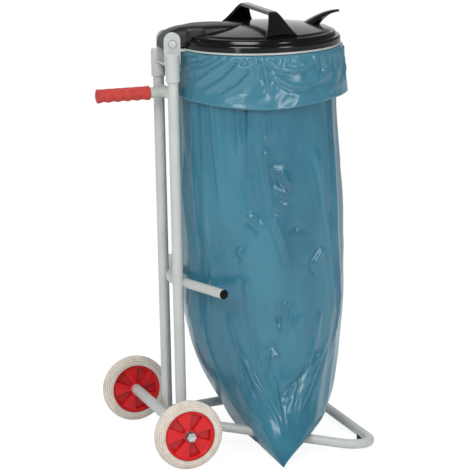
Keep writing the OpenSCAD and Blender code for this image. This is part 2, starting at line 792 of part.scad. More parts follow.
// Half section of the hub: rim, thin web and boss, about its own middle
module hub_solid() {
    rim = hub_rim_w / 2;
    boss = hub_boss_w / 2;
    lip = hub_rim_r - 4;
    dish = rim - 2;
    rotate_extrude(convexity = 4) polygon([
        [0, -boss], [hub_boss_r - 1, -boss], [hub_boss_r, -boss + 1], [hub_boss_r + 3, -dish],
        [lip - 3, -dish + 1], [lip, -rim], [hub_rim_r, -rim], [hub_rim_r, rim], [lip, rim],
        [lip - 3, dish - 1], [hub_boss_r + 3, dish], [hub_boss_r, boss - 1], [hub_boss_r - 1, boss],
        [0, boss]]);
}

// One wedge pocket, from the boss out to the pocket radius
module pocket_outline() {
    a = hub_pocket_angle / 2;
    far = hub_pocket_r * 1.2;
    intersection() {
        difference() {
            circle(r = hub_pocket_r);
            circle(r = hub_boss_r + 3.5);
        }
        polygon([[0, 0], [far * cos(a), far * sin(a)], [far * cos(a), -far * sin(a)]]);
    }
}

module hub(side) {
    start = hub_rim_w / 2 - 2 - hub_pocket_depth;
    color(red) placed() translate([0, side * wheel_y, axle_z]) rotate([side * -90, 0, 0]) difference() {
        hub_solid();
        translate([0, 0, -hub_boss_w]) cylinder(d = axle_rod_d + 2 * bore_gap, h = 2 * hub_boss_w);
        for (i = [0 : hub_pockets - 1], face = [0, 1])
            mirror([0, 0, face]) rotate([0, 0, -90 * side - hub_pocket_turn * side + 360 / hub_pockets * i])
                translate([0, 0, start]) linear_extrude(hub_boss_w) pocket_outline();
    }
}

module left_hub() hub(1);

module right_hub() hub(-1);

module tyre(side) {
    round_r = tyre_w / 2;
    seat_r = hub_rim_r + bore_gap;
    color([0.80, 0.78, 0.73]) placed() translate([0, side * wheel_y, axle_z]) rotate([90, 0, 0])
        rotate_extrude($fn = 128) intersection() {
            union() {
                translate([wheel_r - round_r, 0]) circle(r = round_r);
                translate([seat_r, -round_r]) square([wheel_r - round_r - seat_r, tyre_w]);
            }
            translate([seat_r, -tyre_w]) square([wheel_r, 2 * tyre_w]);
        }
}

module left_tyre() tyre(1);

module right_tyre() tyre(-1);

module axle_washer(side) {
    color(zinc) placed() mirrored(side) translate([0, axle_nut_y - axle_washer_t, axle_z])
        rotate([-90, 0, 0]) difference() {
            cylinder(d = axle_washer_d, h = axle_washer_t);
            translate([0, 0, -1])
                cylinder(d = axle_rod_d + 2 * bore_gap, h = axle_washer_t + 2);
        }
}

module left_axle_washer() axle_washer(1);

module right_axle_washer() axle_washer(-1);

module axle_nut(side) {
    color(zinc) placed() mirrored(side) translate([0, axle_nut_y, axle_z]) rotate([-90, 0, 0])
        difference() {
            cylinder(d = axle_nut_af / cos(30), h = axle_nut_h, $fn = 6);
            translate([0, 0, -1]) cylinder(d = axle_rod_d + 2 * bore_gap, h = axle_nut_h + 2);
        }
}

module left_axle_nut() axle_nut(1);

module right_axle_nut() axle_nut(-1);

left_upright();
right_upright();
axle_tube();
axle_rod();
base_loop();
left_glide();
right_glide();
rung();
handle_tube();
handle_grip();
cradle_bar();
left_arm_plug();
right_arm_plug();
left_sleeve();
right_sleeve();
ring_bracket();
sack_ring();
sack_band();
sack();
pivot_bolt();
pivot_nut();
lid();
lid_handle();
left_handle_screw();
right_handle_screw();
left_hub();
left_tyre();
right_hub();
right_tyre();
left_axle_washer();
right_axle_washer();
left_axle_nut();
right_axle_nut();
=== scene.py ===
import math

import bmesh
import bpy
import numpy as np
from bpy.props import FloatProperty, FloatVectorProperty, IntProperty, PointerProperty
from mathutils import Matrix, Vector


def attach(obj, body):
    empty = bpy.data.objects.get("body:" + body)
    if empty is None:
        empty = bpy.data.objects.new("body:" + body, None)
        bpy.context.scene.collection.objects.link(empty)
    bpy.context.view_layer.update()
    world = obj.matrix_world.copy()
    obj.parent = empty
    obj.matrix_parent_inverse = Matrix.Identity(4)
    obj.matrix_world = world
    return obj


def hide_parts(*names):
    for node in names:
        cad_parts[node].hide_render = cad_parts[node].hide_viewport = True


bl_info = {
    "name": "Waste sack stand",
    "version": (1, 0, 0),
    "blender": (4, 5, 0),
    "location": "View3D > Sidebar > Sack stand",
    "description": "Dresses the wheeled waste sack stand, piece by piece",
    "category": "Object",
}

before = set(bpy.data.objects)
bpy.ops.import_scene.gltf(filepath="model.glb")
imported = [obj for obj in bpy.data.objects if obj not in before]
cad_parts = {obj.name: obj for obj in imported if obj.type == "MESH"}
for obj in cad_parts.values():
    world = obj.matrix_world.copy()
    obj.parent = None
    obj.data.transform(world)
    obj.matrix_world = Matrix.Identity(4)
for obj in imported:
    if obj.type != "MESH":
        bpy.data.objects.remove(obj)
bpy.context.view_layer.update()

# The solids count x from the middle of the stand; the shapes below count it from the axle, in millimetres.
MID_X = 166.15
STAND, LID_BODY = "stand", "lid_body"
RING_X = 260.0
LID_R, LID_Z, LID_WALL = 187.0, 931.3, 2.8
CROWN_R, CROWN_Z, CROWN_RISE = 161.0, 962.8, 15.0
PIVOT_X, PIVOT_Z = 41.5, 944.0
UPRIGHT_X, UPRIGHT_Y, UPRIGHT_R = 33.0, 56.3, 12.5
RUNG_Z = 831.5
WHEEL_Y, AXLE_Z = 214.5, 80.0
# Base loop: its tube's radius, middle line beside the uprights and at the square front corner, and its bend
LOOP_R, LOOP_PASS, LOOP_CORNER, LOOP_BEND = 11.0, (45.0, 56.3, 63.0), (446.5, 289.0, 15.0), 60.0
# Sack: radius of the hanging film and of its neck, the heights where its stretches meet, and its bottom seam
FILM_R, NECK_R = 188.6, 184.4
FLATTEN_Z, WALL_TOP_Z, NECK_TOP_Z, CUFF_TOP_Z = 340.0, 820.0, 917.0, 924.6
SEAM_X, SEAM_HALF = 195.0, 309.0
# The film laid flat: millimetres round it to a degree of turn, and the depth of the cuff
FILM_ARC, CUFF_DEPTH = 3.3, 110.0


def linear(hex_colour):
    """Linear red, green, blue of an sRGB hex colour."""
    parts = [int(hex_colour[i : i + 2], 16) / 255 for i in (1, 3, 5)]
    return tuple(c / 12.92 if c <= 0.04045 else ((c + 0.055) / 1.055) ** 2.4 for c in parts)


def colour(name, hex_colour, description):
    return FloatVectorProperty(
        name=name, description=description, subtype="COLOR", size=3, min=0, max=1, default=linear(hex_colour)
    )


def length(name, default_mm, description, low=0.0, high=1000.0):
    return FloatProperty(
        name=name, description=description, default=default_mm / 1000, min=low / 1000, max=high / 1000,
        unit="LENGTH", precision=4,
    )


def count(name, default, description):
    return IntProperty(name=name, description=description, default=default, min=60, max=400)


class SackStandColours(bpy.types.PropertyGroup):
    """Colours of the stand's finishes."""

    paint: colour("Paint", "#B6B9B4", "Powder coat of the tubes, sleeves, bracket and ring")
    lid: colour("Lid", "#070708", "Moulded lid and its handle")
    hood: colour("Hood", "#1F1F20", "Ribbed hood over the lid's hinge")
    film: colour("Film", "#337084", "Polyethylene film of the sack")
    # Painted shade: a darker film tone that stands for the film in its folds
    film_cuff: colour("Film of the cuff", "#3B7285", "The film where it is folded over the ring")
    film_painted_shade: colour("Film in folds", "#285F74", "The film where it lies in folds")
    grip: colour("Grip", "#B43630", "Soft plastic of the handle grip")
    hub: colour("Hub", "#C91116", "Moulded plastic of the hubs")
    # Painted shade: the hub's red darkened down in its pockets and along a thin line by the rim
    hub_painted_shade: colour("Hub pockets", "#B8141D", "The hub's plastic down in its pockets")
    tyre: colour("Tyre", "#D0C6B9", "Solid rubber of the tyres")
    black: colour("Black plastic", "#040405", "Tube plugs and glides")
    floor: colour("Floor", "#F4F4F3", "Studio floor")


class SackStandSizes(bpy.types.PropertyGroup):
    """Sizes of the details that the solids leave out."""

    edge_round: length("Edge rounding", 0.7, "Radius of the small edge rounding on metal pieces", 0.1, 3)
    weld_radius: length("Weld bead", 1.9, "Radius of the weld beads", 0.5, 5)
    pleat_depth: length("Pleat depth", 5.0, "Depth of the film's pleats at the ring", 0, 15)
    crumple_depth: length("Crumple depth", 9.0, "Depth of the film's hanging folds", 0, 15)
    film_thickness: length("Film thickness", 0.4, "Drawn thickness of the film", 0.1, 2)
    sack_columns: count("Sack columns", 256, "Mesh columns round the sack")
    sack_rows: count("Sack rows", 190, "Mesh rows down the sack")


# Meshes


def place(points):
    """Millimetres from the axle to metres in the stand's frame."""
    return (np.asarray(points, float) - [MID_X, 0, 0]) / 1000


def surface(name, grid, material, around=True, ends=True, uv=None):
    """A mesh over a grid of points, rows by columns; around joins the last column to the first, ends caps the
    first and last row."""
    rows, columns = grid.shape[:2]
    index = np.arange(rows * columns).reshape(rows, columns)
    right = np.roll(index, -1, 1) if around else index[:, 1:]
    left = index if around else index[:, :-1]
    faces = np.stack([left[:-1], right[:-1], right[1:], left[1:]], -1).reshape(-1, 4).tolist()
    if ends and around:
        faces += [index[0, ::-1].tolist(), index[-1].tolist()]
    mesh = bpy.data.meshes.new(name)
    mesh.from_pydata(place(grid.reshape(-1, 3)).tolist(), [], faces)
    if uv is not None:
        layer = mesh.uv_layers.new(name="sheet")
        corner = np.empty(len(mesh.loops), np.int32)
        mesh.loops.foreach_get("vertex_index", corner)
        layer.data.foreach_set("uv", uv.reshape(-1, 2)[corner].astype(np.float32).ravel())
    mesh.polygons.foreach_set("use_smooth", np.full(len(mesh.polygons), True))
    mesh.update()
    piece = bpy.data.objects.new(name, mesh)
    bpy.context.scene.collection.objects.link(piece)
    piece.data.materials.append(material)
    return piece


def sharpen(piece, degrees=35):
    """Edges steeper than the angle shade sharp."""
    piece.data.set_sharp_from_angle(angle=math.radians(degrees))
    return piece


def outwards(piece):
    """Merges doubles and points the faces out."""
    mesh = bmesh.new()
    mesh.from_mesh(piece.data)
    bmesh.ops.remove_doubles(mesh, verts=mesh.verts, dist=1e-6)
    bmesh.ops.recalc_face_normals(mesh, faces=mesh.faces)
    mesh.to_mesh(piece.data)
    mesh.free()
    return piece


def finish_piece(piece, body, slot, *nodes):
    """Rides the piece on its body and hides the solids that it stands for. The slot is not used."""
    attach(piece, body)
    if nodes:
        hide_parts(*nodes)
    return piece


def skin(name, grid, make, body, slot, *solids, degrees=35, **layout):
    """A finished piece over a grid, with its faces out and its steep edges sharp."""
    piece = outwards(surface(name, grid, finish_of(make), **layout))
    return finish_piece(sharpen(piece, degrees), body, slot, *solids)


def refined(solid, make, body, slot, width=0.0, segments=2):
    """A merged copy of a solid; with a width, each edge sharper than 30 degrees gets a small bevel."""
    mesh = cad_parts[solid].data.copy()
    mesh.name = solid + "_dressed"
    mesh.materials.clear()
    mesh.materials.append(finish_of(make))
    work = bmesh.new()
    work.from_mesh(mesh)
    bmesh.ops.remove_doubles(work, verts=work.verts, dist=2e-6)
    bmesh.ops.dissolve_limit(
        work, angle_limit=math.radians(0.4), verts=work.verts, edges=work.edges, use_dissolve_boundaries=False
    )
    for face in work.faces:
        face.smooth = True
    work.to_mesh(mesh)
    work.free()
    piece = bpy.data.objects.new(mesh.name, mesh)
    bpy.context.scene.collection.objects.link(piece)
    if width > 0:
        bevel = piece.modifiers.new("edges", "BEVEL")
        bevel.width = width
        bevel.segments = segments
        bevel.limit_method = "ANGLE"
        bevel.angle_limit = math.radians(30)
    return finish_piece(sharpen(piece, 40), body, slot, solid)


def turned(profile, columns, centre, order=(0, 1, 2)):
    """A profile of (radius, height) rows carried round an axis: columns points on each circle. The order says
    which of the circle's two directions and its axis lie along x, y and z."""
    a = np.linspace(0, 2 * np.pi, columns, endpoint=False)
    r, h = np.asarray(profile, float).T
    flat = np.stack([r[:, None] * np.cos(a), r[:, None] * np.sin(a), np.repeat(h[:, None], columns, 1)], -1)
    return flat[..., list(order)] + centre


def carried(path, radius, columns):
    """A round tube along a path: a circle square to the path at each of its points."""
    step = np.gradient(path, axis=0)
    step /= np.linalg.norm(step, axis=1)[:, None]
    side = np.cross(step, [0, 0, 1.0])
    side /= np.linalg.norm(side, axis=1)[:, None]
    up = np.cross(side, step)
    a = np.linspace(0, 2 * np.pi, columns, endpoint=False)[:, None]
    return path[:, None] + radius * (np.cos(a) * side[:, None] + np.sin(a) * up[:, None])


def rounded(points, radius, steps=6):
    """A flat outline with its inner corners rounded by arcs that touch both sides."""
    points = np.asarray(points, float)
    out = [points[0]]
    for before, corner, after in zip(points[:-2], points[1:-1], points[2:]):
        u, v = before - corner, after - corner
        lu, lv = np.linalg.norm(u), np.linalg.norm(v)
        reach = min(radius, lu * 0.45, lv * 0.45)
        p, q = corner + u / lu * reach, corner + v / lv * reach
        t = np.linspace(0, 1, steps)[:, None]
        out += list((1 - t) ** 2 * p + 2 * t * (1 - t) * corner + t**2 * q)
    out.append(points[-1])
    return np.array(out)


def resampled(points, count):
    """The same outline with evenly spaced points."""
    points = np.asarray(points, float)
    run = np.concatenate([[0], np.cumsum(np.linalg.norm(np.diff(points, axis=0), axis=1))])
    at = np.linspace(0, run[-1], count)
    return np.stack([np.interp(at, run, points[:, k]) for k in range(points.shape[1])], 1)


def bump_step(x, low, high):
    """0 below low, 1 above high, and smooth between."""
    t = np.clip((x - low) / (high - low), 0, 1)
    return t * t * (3 - 2 * t)


def soft_noise(u, v, cells_u, cells_v, seed):
    """Smooth noise from -1 to 1 that repeats once round u (0 to 1): random heights on a lattice, blended
    cubically."""
    table = np.random.default_rng(seed).uniform(-1, 1, (cells_u, 64))
    x, y = u * cells_u, v * cells_v + 64
    i, j = np.floor(x).astype(int), np.floor(y).astype(int)
    fx, fy = x - i, y - j
    fx, fy = fx * fx * (3 - 2 * fx), fy * fy * (3 - 2 * fy)

    def at(a, b):
        return table[a % cells_u, b % 64]

    low = at(i, j) * (1 - fx) + at(i + 1, j) * fx
    high = at(i, j + 1) * (1 - fx) + at(i + 1, j + 1) * fx
    return low * (1 - fy) + high * fy


# Materials


def node(tree, kind, values=None, links=None, **settings):
    """Adds one shader node: settings are its properties, values its own sockets, links what feeds them."""
    made = tree.nodes.new(kind)
    for key, value in settings.items():
        setattr(made, key, value)
    for key, value in (values or {}).items():
        made.inputs[key].default_value = value
    for key, source in (links or {}).items():
        tree.links.new(source, made.inputs[key])
    return made


def material(name, **values):
    """A material with one Principled shader and nothing else."""
    made = bpy.data.materials.new(name)
    made.use_nodes = True
    tree = made.node_tree
    tree.nodes.clear()
    sockets = {key.replace("_", " "): value for key, value in values.items()}
    shader = node(tree, "ShaderNodeBsdfPrincipled", sockets)
    node(tree, "ShaderNodeOutputMaterial", links={"Surface": shader.outputs[0]})
    return made, tree, shader


def place_in_object(tree, scale):
    """Object coordinates in metres, times a pattern scale."""
    where = node(tree, "ShaderNodeTexCoord")
    return node(tree, "ShaderNodeMapping", {"Scale": scale}, {"Vector": where.outputs["Object"]}).outputs[0]


def noise(tree, cells, detail=2.0, values=None, **settings):
    """Noise on object coordinates; cells is how many lie to the metre, or three such for x, y and z."""
    scale = cells if isinstance(cells, tuple) else (cells,) * 3
    values = {"Scale": 1.0, "Detail": detail, **(values or {})}
    where = place_in_object(tree, scale)
    return node(tree, "ShaderNodeTexNoise", values, {"Vector": where}, **settings).outputs["Fac"]


def own_map(tree):
    """The piece's own map."""
    return node(tree, "ShaderNodeUVMap", uv_map="sheet").outputs[0]


def relief(tree, shader, height, strength, depth_mm, under=None):
    """Bumps the shader's surface by a pattern; under is the bump that this one lies on."""
    links = {"Height": height} if under is None else {"Height": height, "Normal": under}
    bump = node(tree, "ShaderNodeBump", {"Strength": strength, "Distance": depth_mm / 1000}, links)
    tree.links.new(bump.outputs[0], shader.inputs["Normal"])
    return bump.outputs[0]


def tint(tree, shader, factor, first, second, low=0.3, high=0.7):
    """Blends two colours over a pattern and feeds the shader's colour."""
    ramp = node(tree, "ShaderNodeValToRGB", links={"Fac": factor})
    ramp.color_ramp.elements[0].position = low
    ramp.color_ramp.elements[1].position = high
    ramp.color_ramp.elements[0].color = (*first, 1)
    ramp.color_ramp.elements[1].color = (*second, 1)
    tree.links.new(ramp.outputs[0], shader.inputs["Base Color"])


def shade_of(rgb, factor):
    return tuple(min(1, c * factor) for c in rgb)


def mottled(name, cells, detail, dark, light, strength=0.0, depth_mm=0.0, **values):
    """A finish whose colour, and relief if it has a strength, follow one noise of so many cells a metre."""
    made, tree, shader = material(name, **values)
    pattern = noise(tree, cells, detail)
    tint(tree, shader, pattern, dark, light)
    if strength > 0:
        relief(tree, shader, pattern, strength, depth_mm)
    return made


def powder_coat(colours):
    """Polyester powder coat on steel: semi gloss with a fine orange peel of about 1.5 mm."""
    made, tree, shader = material("powder_coat", Roughness=0.36, Specular_IOR_Level=0.45)
    tint(tree, shader, noise(tree, 16, 3.0), shade_of(colours.paint, 0.93), shade_of(colours.paint, 1.04))
    relief(tree, shader, noise(tree, 650), 0.06, 0.3)
    return made


def zinc_plate(colours):
    """Bright zinc plate on steel fasteners: metal with a slightly cloudy, soft shine."""
    dark, light = linear("#A9AFAC"), linear("#E0E4E2")
    return mottled("zinc_plate", 260, 4.0, dark, light, 0.12, 0.4, Metallic=1.0, Roughness=0.34)


def painted_shade_steel(colours):
    """The axle washers, zinc plated like the nuts, drawn as dull dark steel: painted shade round the nuts,
    with a cloudy surface.
    """
    return mottled("painted_shade_steel", 300, 3.0, linear("#55565A"), linear("#7B7C80"), Metallic=0.8, Roughness=0.5)


def gloss_moulding(colours):
    """Glossy moulded ABS of the lid: black, a hard clear shine with a faint flow waviness."""
    dark, light = shade_of(colours.lid, 0.8), shade_of(colours.lid, 1.35)
    return mottled("gloss_moulding", 22, 2.0, dark, light, 0.08, 1.0, Roughness=0.15, Specular_IOR_Level=0.5)


def satin_moulding(colours):
    """The hood's flanks: the lid's black ABS with an etched satin face and a fine grain of about 1 mm."""
    dark, light = shade_of(colours.lid, 1.2), shade_of(colours.lid, 2.2)
    return mottled("satin_moulding", 800, 3.0, dark, light, 0.12, 0.3, Roughness=0.38, Specular_IOR_Level=0.5)


def black_moulding(colours):
    """Matt black polyethylene of the plugs and glides, with a fine grain of about 1 mm."""
    dark, light = shade_of(colours.black, 0.8), shade_of(colours.black, 1.3)
    return mottled("black_moulding", 900, 3.0, dark, light, 0.15, 0.3, Roughness=0.5, Specular_IOR_Level=0.15)


def stretched_rubber(colours):
    """Black rubber of the hidden band, with a matt grain of about 2 mm."""
    dark, light = linear("#151515"), linear("#222222")
    return mottled("stretched_rubber", 500, 2.0, dark, light, Roughness=0.6, Specular_IOR_Level=0.3)


def floor_paper(colours):
    """White paper of the studio floor, with faint clouds in its fibre; four fifths of what the camera sees of
    it is plain white."""
    dark = shade_of(colours.floor, 0.99)
    made = mottled("floor_paper", 30, 2.0, dark, colours.floor, Roughness=0.9, Specular_IOR_Level=0.1)
    tree = made.node_tree
    output = next(n for n in tree.nodes if n.type == "OUTPUT_MATERIAL")
    paper = output.inputs["Surface"].links[0].from_socket
    seen = node(tree, "ShaderNodeLightPath").outputs["Is Camera Ray"]
    share = node(tree, "ShaderNodeMath", {1: 0.8}, {0: seen}, operation="MULTIPLY").outputs[0]
    glow = node(tree, "ShaderNodeEmission", {"Color": (1, 1, 1, 1), "Strength": 1.12}).outputs[0]
    mix = node(tree, "ShaderNodeMixShader", links={0: share, 1: paper, 2: glow})
    tree.links.new(mix.outputs[0], output.inputs["Surface"])
    return made


def ribbed_moulding(colours):
    """The hood's outer face: satin black plastic with fine ribs 2.2 mm apart across it; its colour is darker
    in the rib grooves as painted shade and lighter on their crests as painted highlight.
    """
    made, tree, shader = material("ribbed_moulding", Roughness=0.42, Specular_IOR_Level=0.42)
    where = place_in_object(tree, (143, 0, 0))
    ribs = node(
        tree, "ShaderNodeTexWave", {"Scale": 1.0, "Distortion": 0.0}, {"Vector": where},
        wave_type="BANDS", bands_direction="X",
    ).outputs["Fac"]
    # Painted shade in the rib grooves and painted highlight on their crests
    tint(tree, shader, ribs, shade_of(colours.hood, 0.75), shade_of(colours.hood, 1.25))
    relief(tree, shader, ribs, 0.25, 0.6)
    return made


def hub_moulding(colours):
    """Moulded polypropylene of the hubs: saturated red and glossy. Painted shade: the pockets and a thin line
    by the rim, told by the piece's own map, are darkened towards the hub's shade colour."""
    made, tree, shader = material("hub_moulding", Roughness=0.3, Specular_IOR_Level=0.4)
    flow = noise(tree, 90)
    # The map's second share is how much painted shade each point gets
    depth = node(tree, "ShaderNodeSeparateXYZ", links={0: own_map(tree)}).outputs["Y"]
    painted_shade = node(tree, "ShaderNodeMath", {1: 0.12}, {0: flow, 2: depth}, operation="MULTIPLY_ADD").outputs[0]
    tint(tree, shader, painted_shade, colours.hub, colours.hub_painted_shade, 0.1, 0.95)
    relief(tree, shader, flow, 0.05, 0.5)
    return made


def tyre_rubber(colours):
    """Solid light grey rubber: matt, warm mottle, and fine moulded rings 6 mm apart on its walls; along the
    rings the colour darkens as painted shade in their grooves.
    """
    made, tree, shader = material("tyre_rubber", Roughness=0.62, Specular_IOR_Level=0.3)
    rings = node(
        tree, "ShaderNodeTexWave", {"Scale": 52.0}, {"Vector": own_map(tree)},
        wave_type="BANDS", bands_direction="Y",
    ).outputs["Fac"]
    # Painted shade: the ring bands darken the colour; the noise mottle is the rubber's own tone
    links = {0: rings, 2: noise(tree, 45, 5.0)}
    both = node(tree, "ShaderNodeMath", {1: 0.35}, links, operation="MULTIPLY_ADD").outputs[0]
    tint(tree, shader, both, shade_of(colours.tyre, 0.8), shade_of(colours.tyre, 1.06), 0.42, 0.8)
    relief(tree, shader, rings, 0.6, 1.0)
    return made


def soft_grip(colours):
    """Soft PVC of the grip: satin red with a pebbled skin of about 2 mm."""
    made, tree, shader = material("soft_grip", Roughness=0.5, Specular_IOR_Level=0.35)
    tint(tree, shader, noise(tree, 120, 4.0), shade_of(colours.grip, 0.84), shade_of(colours.grip, 1.1))
    where = place_in_object(tree, (480, 480, 480))
    pebble = node(tree, "ShaderNodeTexVoronoi", {"Scale": 1.0}, {"Vector": where})
    relief(tree, shader, pebble.outputs["Distance"], 0.22, 0.5)
    return made


def sack_film(colours):
    """Blue low density polyethylene film: glossy and thin. Ridged noise gives creases that run down the
    sheet, 30 to 110 mm apart, and patches of crumples 10 to 40 mm wide; a fine noise breaks up the gleams."""
    made, tree, shader = material(
        "sack_film", Roughness=0.24, Specular_IOR_Level=0.42, Coat_Weight=0.22, Coat_Roughness=0.07
    )
    # Painted shade: the film darkens towards its fold colour in soft random clouds of noise, which do not
    # follow the folds
    clouds = noise(tree, (9, 9, 3.2), 4.0, {"Roughness": 0.6})
    tint(tree, shader, clouds, colours.film_painted_shade, colours.film, 0.34, 0.6)
    # The cuff's part of the sheet starts at 2 m on the map; it lies double and looks lighter
    height = node(tree, "ShaderNodeSeparateXYZ", links={0: own_map(tree)}).outputs["Y"]
    cuff = node(tree, "ShaderNodeMapRange", {"From Min": 1.9, "From Max": 2.0}, {"Value": height}).outputs[0]
    body = shader.inputs["Base Color"].links[0].from_socket
    both = node(tree, "ShaderNodeMixRGB", {"Color2": (*colours.film_cuff, 1)}, {"Fac": cuff, "Color1": body})
    tree.links.new(both.outputs[0], shader.inputs["Base Color"])
    ridge = {"Roughness": 0.45, "Distortion": 0.35}
    creases = noise(tree, (9, 9, 1.7), 2.5, ridge, noise_type="RIDGED_MULTIFRACTAL")
    crumples = noise(tree, (24, 24, 15), 2.5, ridge, noise_type="RIDGED_MULTIFRACTAL")
    spread = noise(tree, (6, 6, 5), 1.0)
    patches = node(tree, "ShaderNodeMapRange", {"From Min": 0.48, "From Max": 0.58}, {"Value": spread})
    crumpled = node(tree, "ShaderNodeMath", links={0: crumples, 1: patches.outputs[0]}, operation="MULTIPLY")
    creased = relief(tree, shader, creases, 0.6, 4.0)
    crushed = relief(tree, shader, crumpled.outputs[0], 0.8, 4.0, creased)
    relief(tree, shader, noise(tree, (60, 60, 34), 3.0), 0.25, 1.5, crushed)
    return made


FINISHES = {}


def finish_of(make):
    """Each finish is made once and kept for the pieces that share it."""
    if make.__name__ not in FINISHES:
        FINISHES[make.__name__] = make(bpy.context.scene.sack_stand_colours)
    return FINISHES[make.__name__]


# Shapes


def mirrored(half):
    """Half a course in the stand's plane, up to its middle point, and its mirror image over y after it."""
    return np.concatenate([half, half[-2::-1] * [1, -1]])


def loop_course(corner_steps=40):
    """Middle line of the base loop: straight side bar, corner arc, crossbar, and the same mirrored."""
    (pass_x, pass_y, pass_z), (front_x, corner_y, front_z), bend = LOOP_PASS, LOOP_CORNER, LOOP_BEND
    rear_x = 6
    slope = math.atan((pass_z - front_z) / (front_x - pass_x))
    run = (front_x - pass_x) / math.cos(slope)
    splay = math.atan((corner_y - pass_y) / run)
    tangent = bend * math.tan((math.pi / 2 + splay) / 2)
    back = (pass_x - rear_x) / math.cos(splay)
    a = np.linspace(math.pi / 2 + splay, 0, corner_steps)
    arc = np.stack([run - bend + bend * np.cos(a), corner_y - tangent + bend * np.sin(a)], 1)
    rear = np.array([[-back * math.cos(splay), pass_y - back * math.sin(splay)]])
    side = rear + (arc[0] - rear) * np.linspace(0, 1, 30)[:-1, None]
    bar = np.stack([np.full(14, run), np.linspace(corner_y - tangent, 0, 15)[1:]], 1)
    flat = mirrored(np.concatenate([side, arc, bar]))
    return np.stack(
        [pass_x + flat[:, 0] * math.cos(slope), flat[:, 1], pass_z - flat[:, 0] * math.sin(slope)], 1
    )


def cradle_course():
    """Middle line of the cradle bar: two straight arms and a bend between them, all at one height."""
    vertex, angle, arm, bend, z = 32.2, math.radians(17.2), 212.3, 70.0, 394.4
    a = np.linspace(math.pi - angle, math.pi, 12)
    arc = np.stack([vertex + bend / math.cos(angle) + bend * np.cos(a), bend * np.sin(a)], 1)
    tip = np.array([[vertex + arm * math.sin(angle), arm * math.cos(angle)]])
    side = tip + (arc[0] - tip) * np.linspace(0, 1, 24)[:-1, None]
    flat = mirrored(np.concatenate([side, arc]))
    return np.column_stack([flat, np.full(len(flat), z)])


def weld_bead(name, centre, main, branch, bead, seed):
    """A bead where one frame tube meets another square on: the branch's circle lifted onto the main tube,
    with small ripples."""
    main, branch = np.array(main, float), np.array(branch, float)
    third = np.cross(main, branch)
    branch_r = UPRIGHT_R - 0.2
    a = np.linspace(0, 2 * np.pi, 96, endpoint=False)
    across = branch_r * np.sin(a)
    lift = np.sqrt(np.maximum(UPRIGHT_R**2 - across**2, 0.4))
    outward = (branch_r * np.cos(a))[:, None] * main + across[:, None] * third + lift[:, None] * branch
    line = np.array(centre) + outward
    ripple = 1 + 0.16 * np.sin(a * 22 + seed) + 0.1 * np.sin(a * 9 + 2 * seed)
    ahead = np.roll(line, -1, 0) - np.roll(line, 1, 0)
    ahead /= np.linalg.norm(ahead, axis=1)[:, None]
    outward -= (outward * ahead).sum(1)[:, None] * ahead
    outward /= np.linalg.norm(outward, axis=1)[:, None]
    side = np.cross(ahead, outward)
    b = np.linspace(0, 2 * np.pi, 10, endpoint=False)[:, None]
    grid = line[:, None] + (bead * ripple)[:, None, None] * (
        np.cos(b) * outward[:, None] + np.sin(b) * side[:, None]
    )
    piece = surface(name, np.concatenate([grid, grid[:1]]), finish_of(powder_coat), ends=False)
    return finish_piece(outwards(piece), STAND, "paint")


def seam_height(y):
    """Height of the sack's bottom seam across the stand: low inside the loop, rising to the left tip."""
    right_tip, middle, left_tip = 5, 16, 147
    share = np.abs(y) / SEAM_HALF
    to_right, to_left = (right_tip - middle) * share**2, (left_tip - middle) * share**1.8
    return middle + np.where(y < 0, to_right, to_left)


def sack_wall(turn, t):
    """Flattening part of the sack: at share t of the way down, the circle has run this far to its straight
    seam."""
    early = 0.64 - 0.44 * np.cos(turn)
    w = early * t ** (1.66 - 0.34 * np.cos(turn)) + (1 - early) * t**14
    end_y = (SEAM_HALF - 1.5) * np.sin(turn)
    x = RING_X + FILM_R * np.cos(turn)
    y = FILM_R * np.sin(turn)
    x = x + (SEAM_X + 2.5 * np.cos(turn) - x) * w
    y = y + (end_y - y) * t**4
    z = FLATTEN_Z + (seam_height(end_y) + 1.0 - FLATTEN_Z) * t
    return np.stack([x, y, z], -1)


def over_bars(points):
    """Lifts the film over the two side bars of the base loop, as a sheet lies over a round bar."""
    (pass_x, pass_y, pass_z), (front_x, corner_y, front_z), reach = LOOP_PASS, LOOP_CORNER, LOOP_R + 1.2
    x, y, z = points[..., 0], points[..., 1], points[..., 2]
    slope = (pass_z - front_z) / (front_x - pass_x)
    splay = (corner_y - pass_y) / (front_x - pass_x)
    for side in (-1, 1):
        away = (side * y - (pass_y + splay * (x - pass_x))) / math.sqrt(1 + splay**2)
        top = pass_z - slope * (x - pass_x) + np.sqrt(np.maximum(reach**2 - away**2, 0))
        z = np.where((np.abs(away) < reach) & (z < top), top, z)
    return np.stack([x, y, z], -1)


def ridges(x, y, lines):
    """Sharp folds along drawn lines on the flat film, in millimetres: from each line the height falls off as
    exp(-distance / width), with a shallow valley along one side; a fold fades out over its last quarter."""
    out = np.zeros(np.broadcast(x, y).shape)
    for depth, width, points in lines:
        spans = np.hypot(*np.diff(np.array(points, float), axis=0).T)
        run = np.concatenate([[0], np.cumsum(spans)]) / spans.sum()
        near = np.full(out.shape, 1e9)
        side, share = np.zeros(out.shape), np.zeros(out.shape)
        for i, ((x0, y0), (x1, y1)) in enumerate(zip(points[:-1], points[1:])):
            dx, dy = x1 - x0, y1 - y0
            k = np.clip(((x - x0) * dx + (y - y0) * dy) / (dx * dx + dy * dy), 0, 1)
            ox, oy = x - x0 - k * dx, y - y0 - k * dy
            away = np.hypot(ox, oy)
            closer = away < near
            side = np.where(closer, ox * dy - oy * dx, side)
            share = np.where(closer, run[i] + k * (run[i + 1] - run[i]), share)
            near = np.minimum(away, near)
        fade = np.clip(14 * share, 0, 1) * np.clip(4 * (1 - share), 0, 1)
        off = np.sign(side) * near / width
        out += depth * fade * (np.exp(-near / width) - 0.55 * np.exp(-((off - 1.7) ** 2)))
    return out


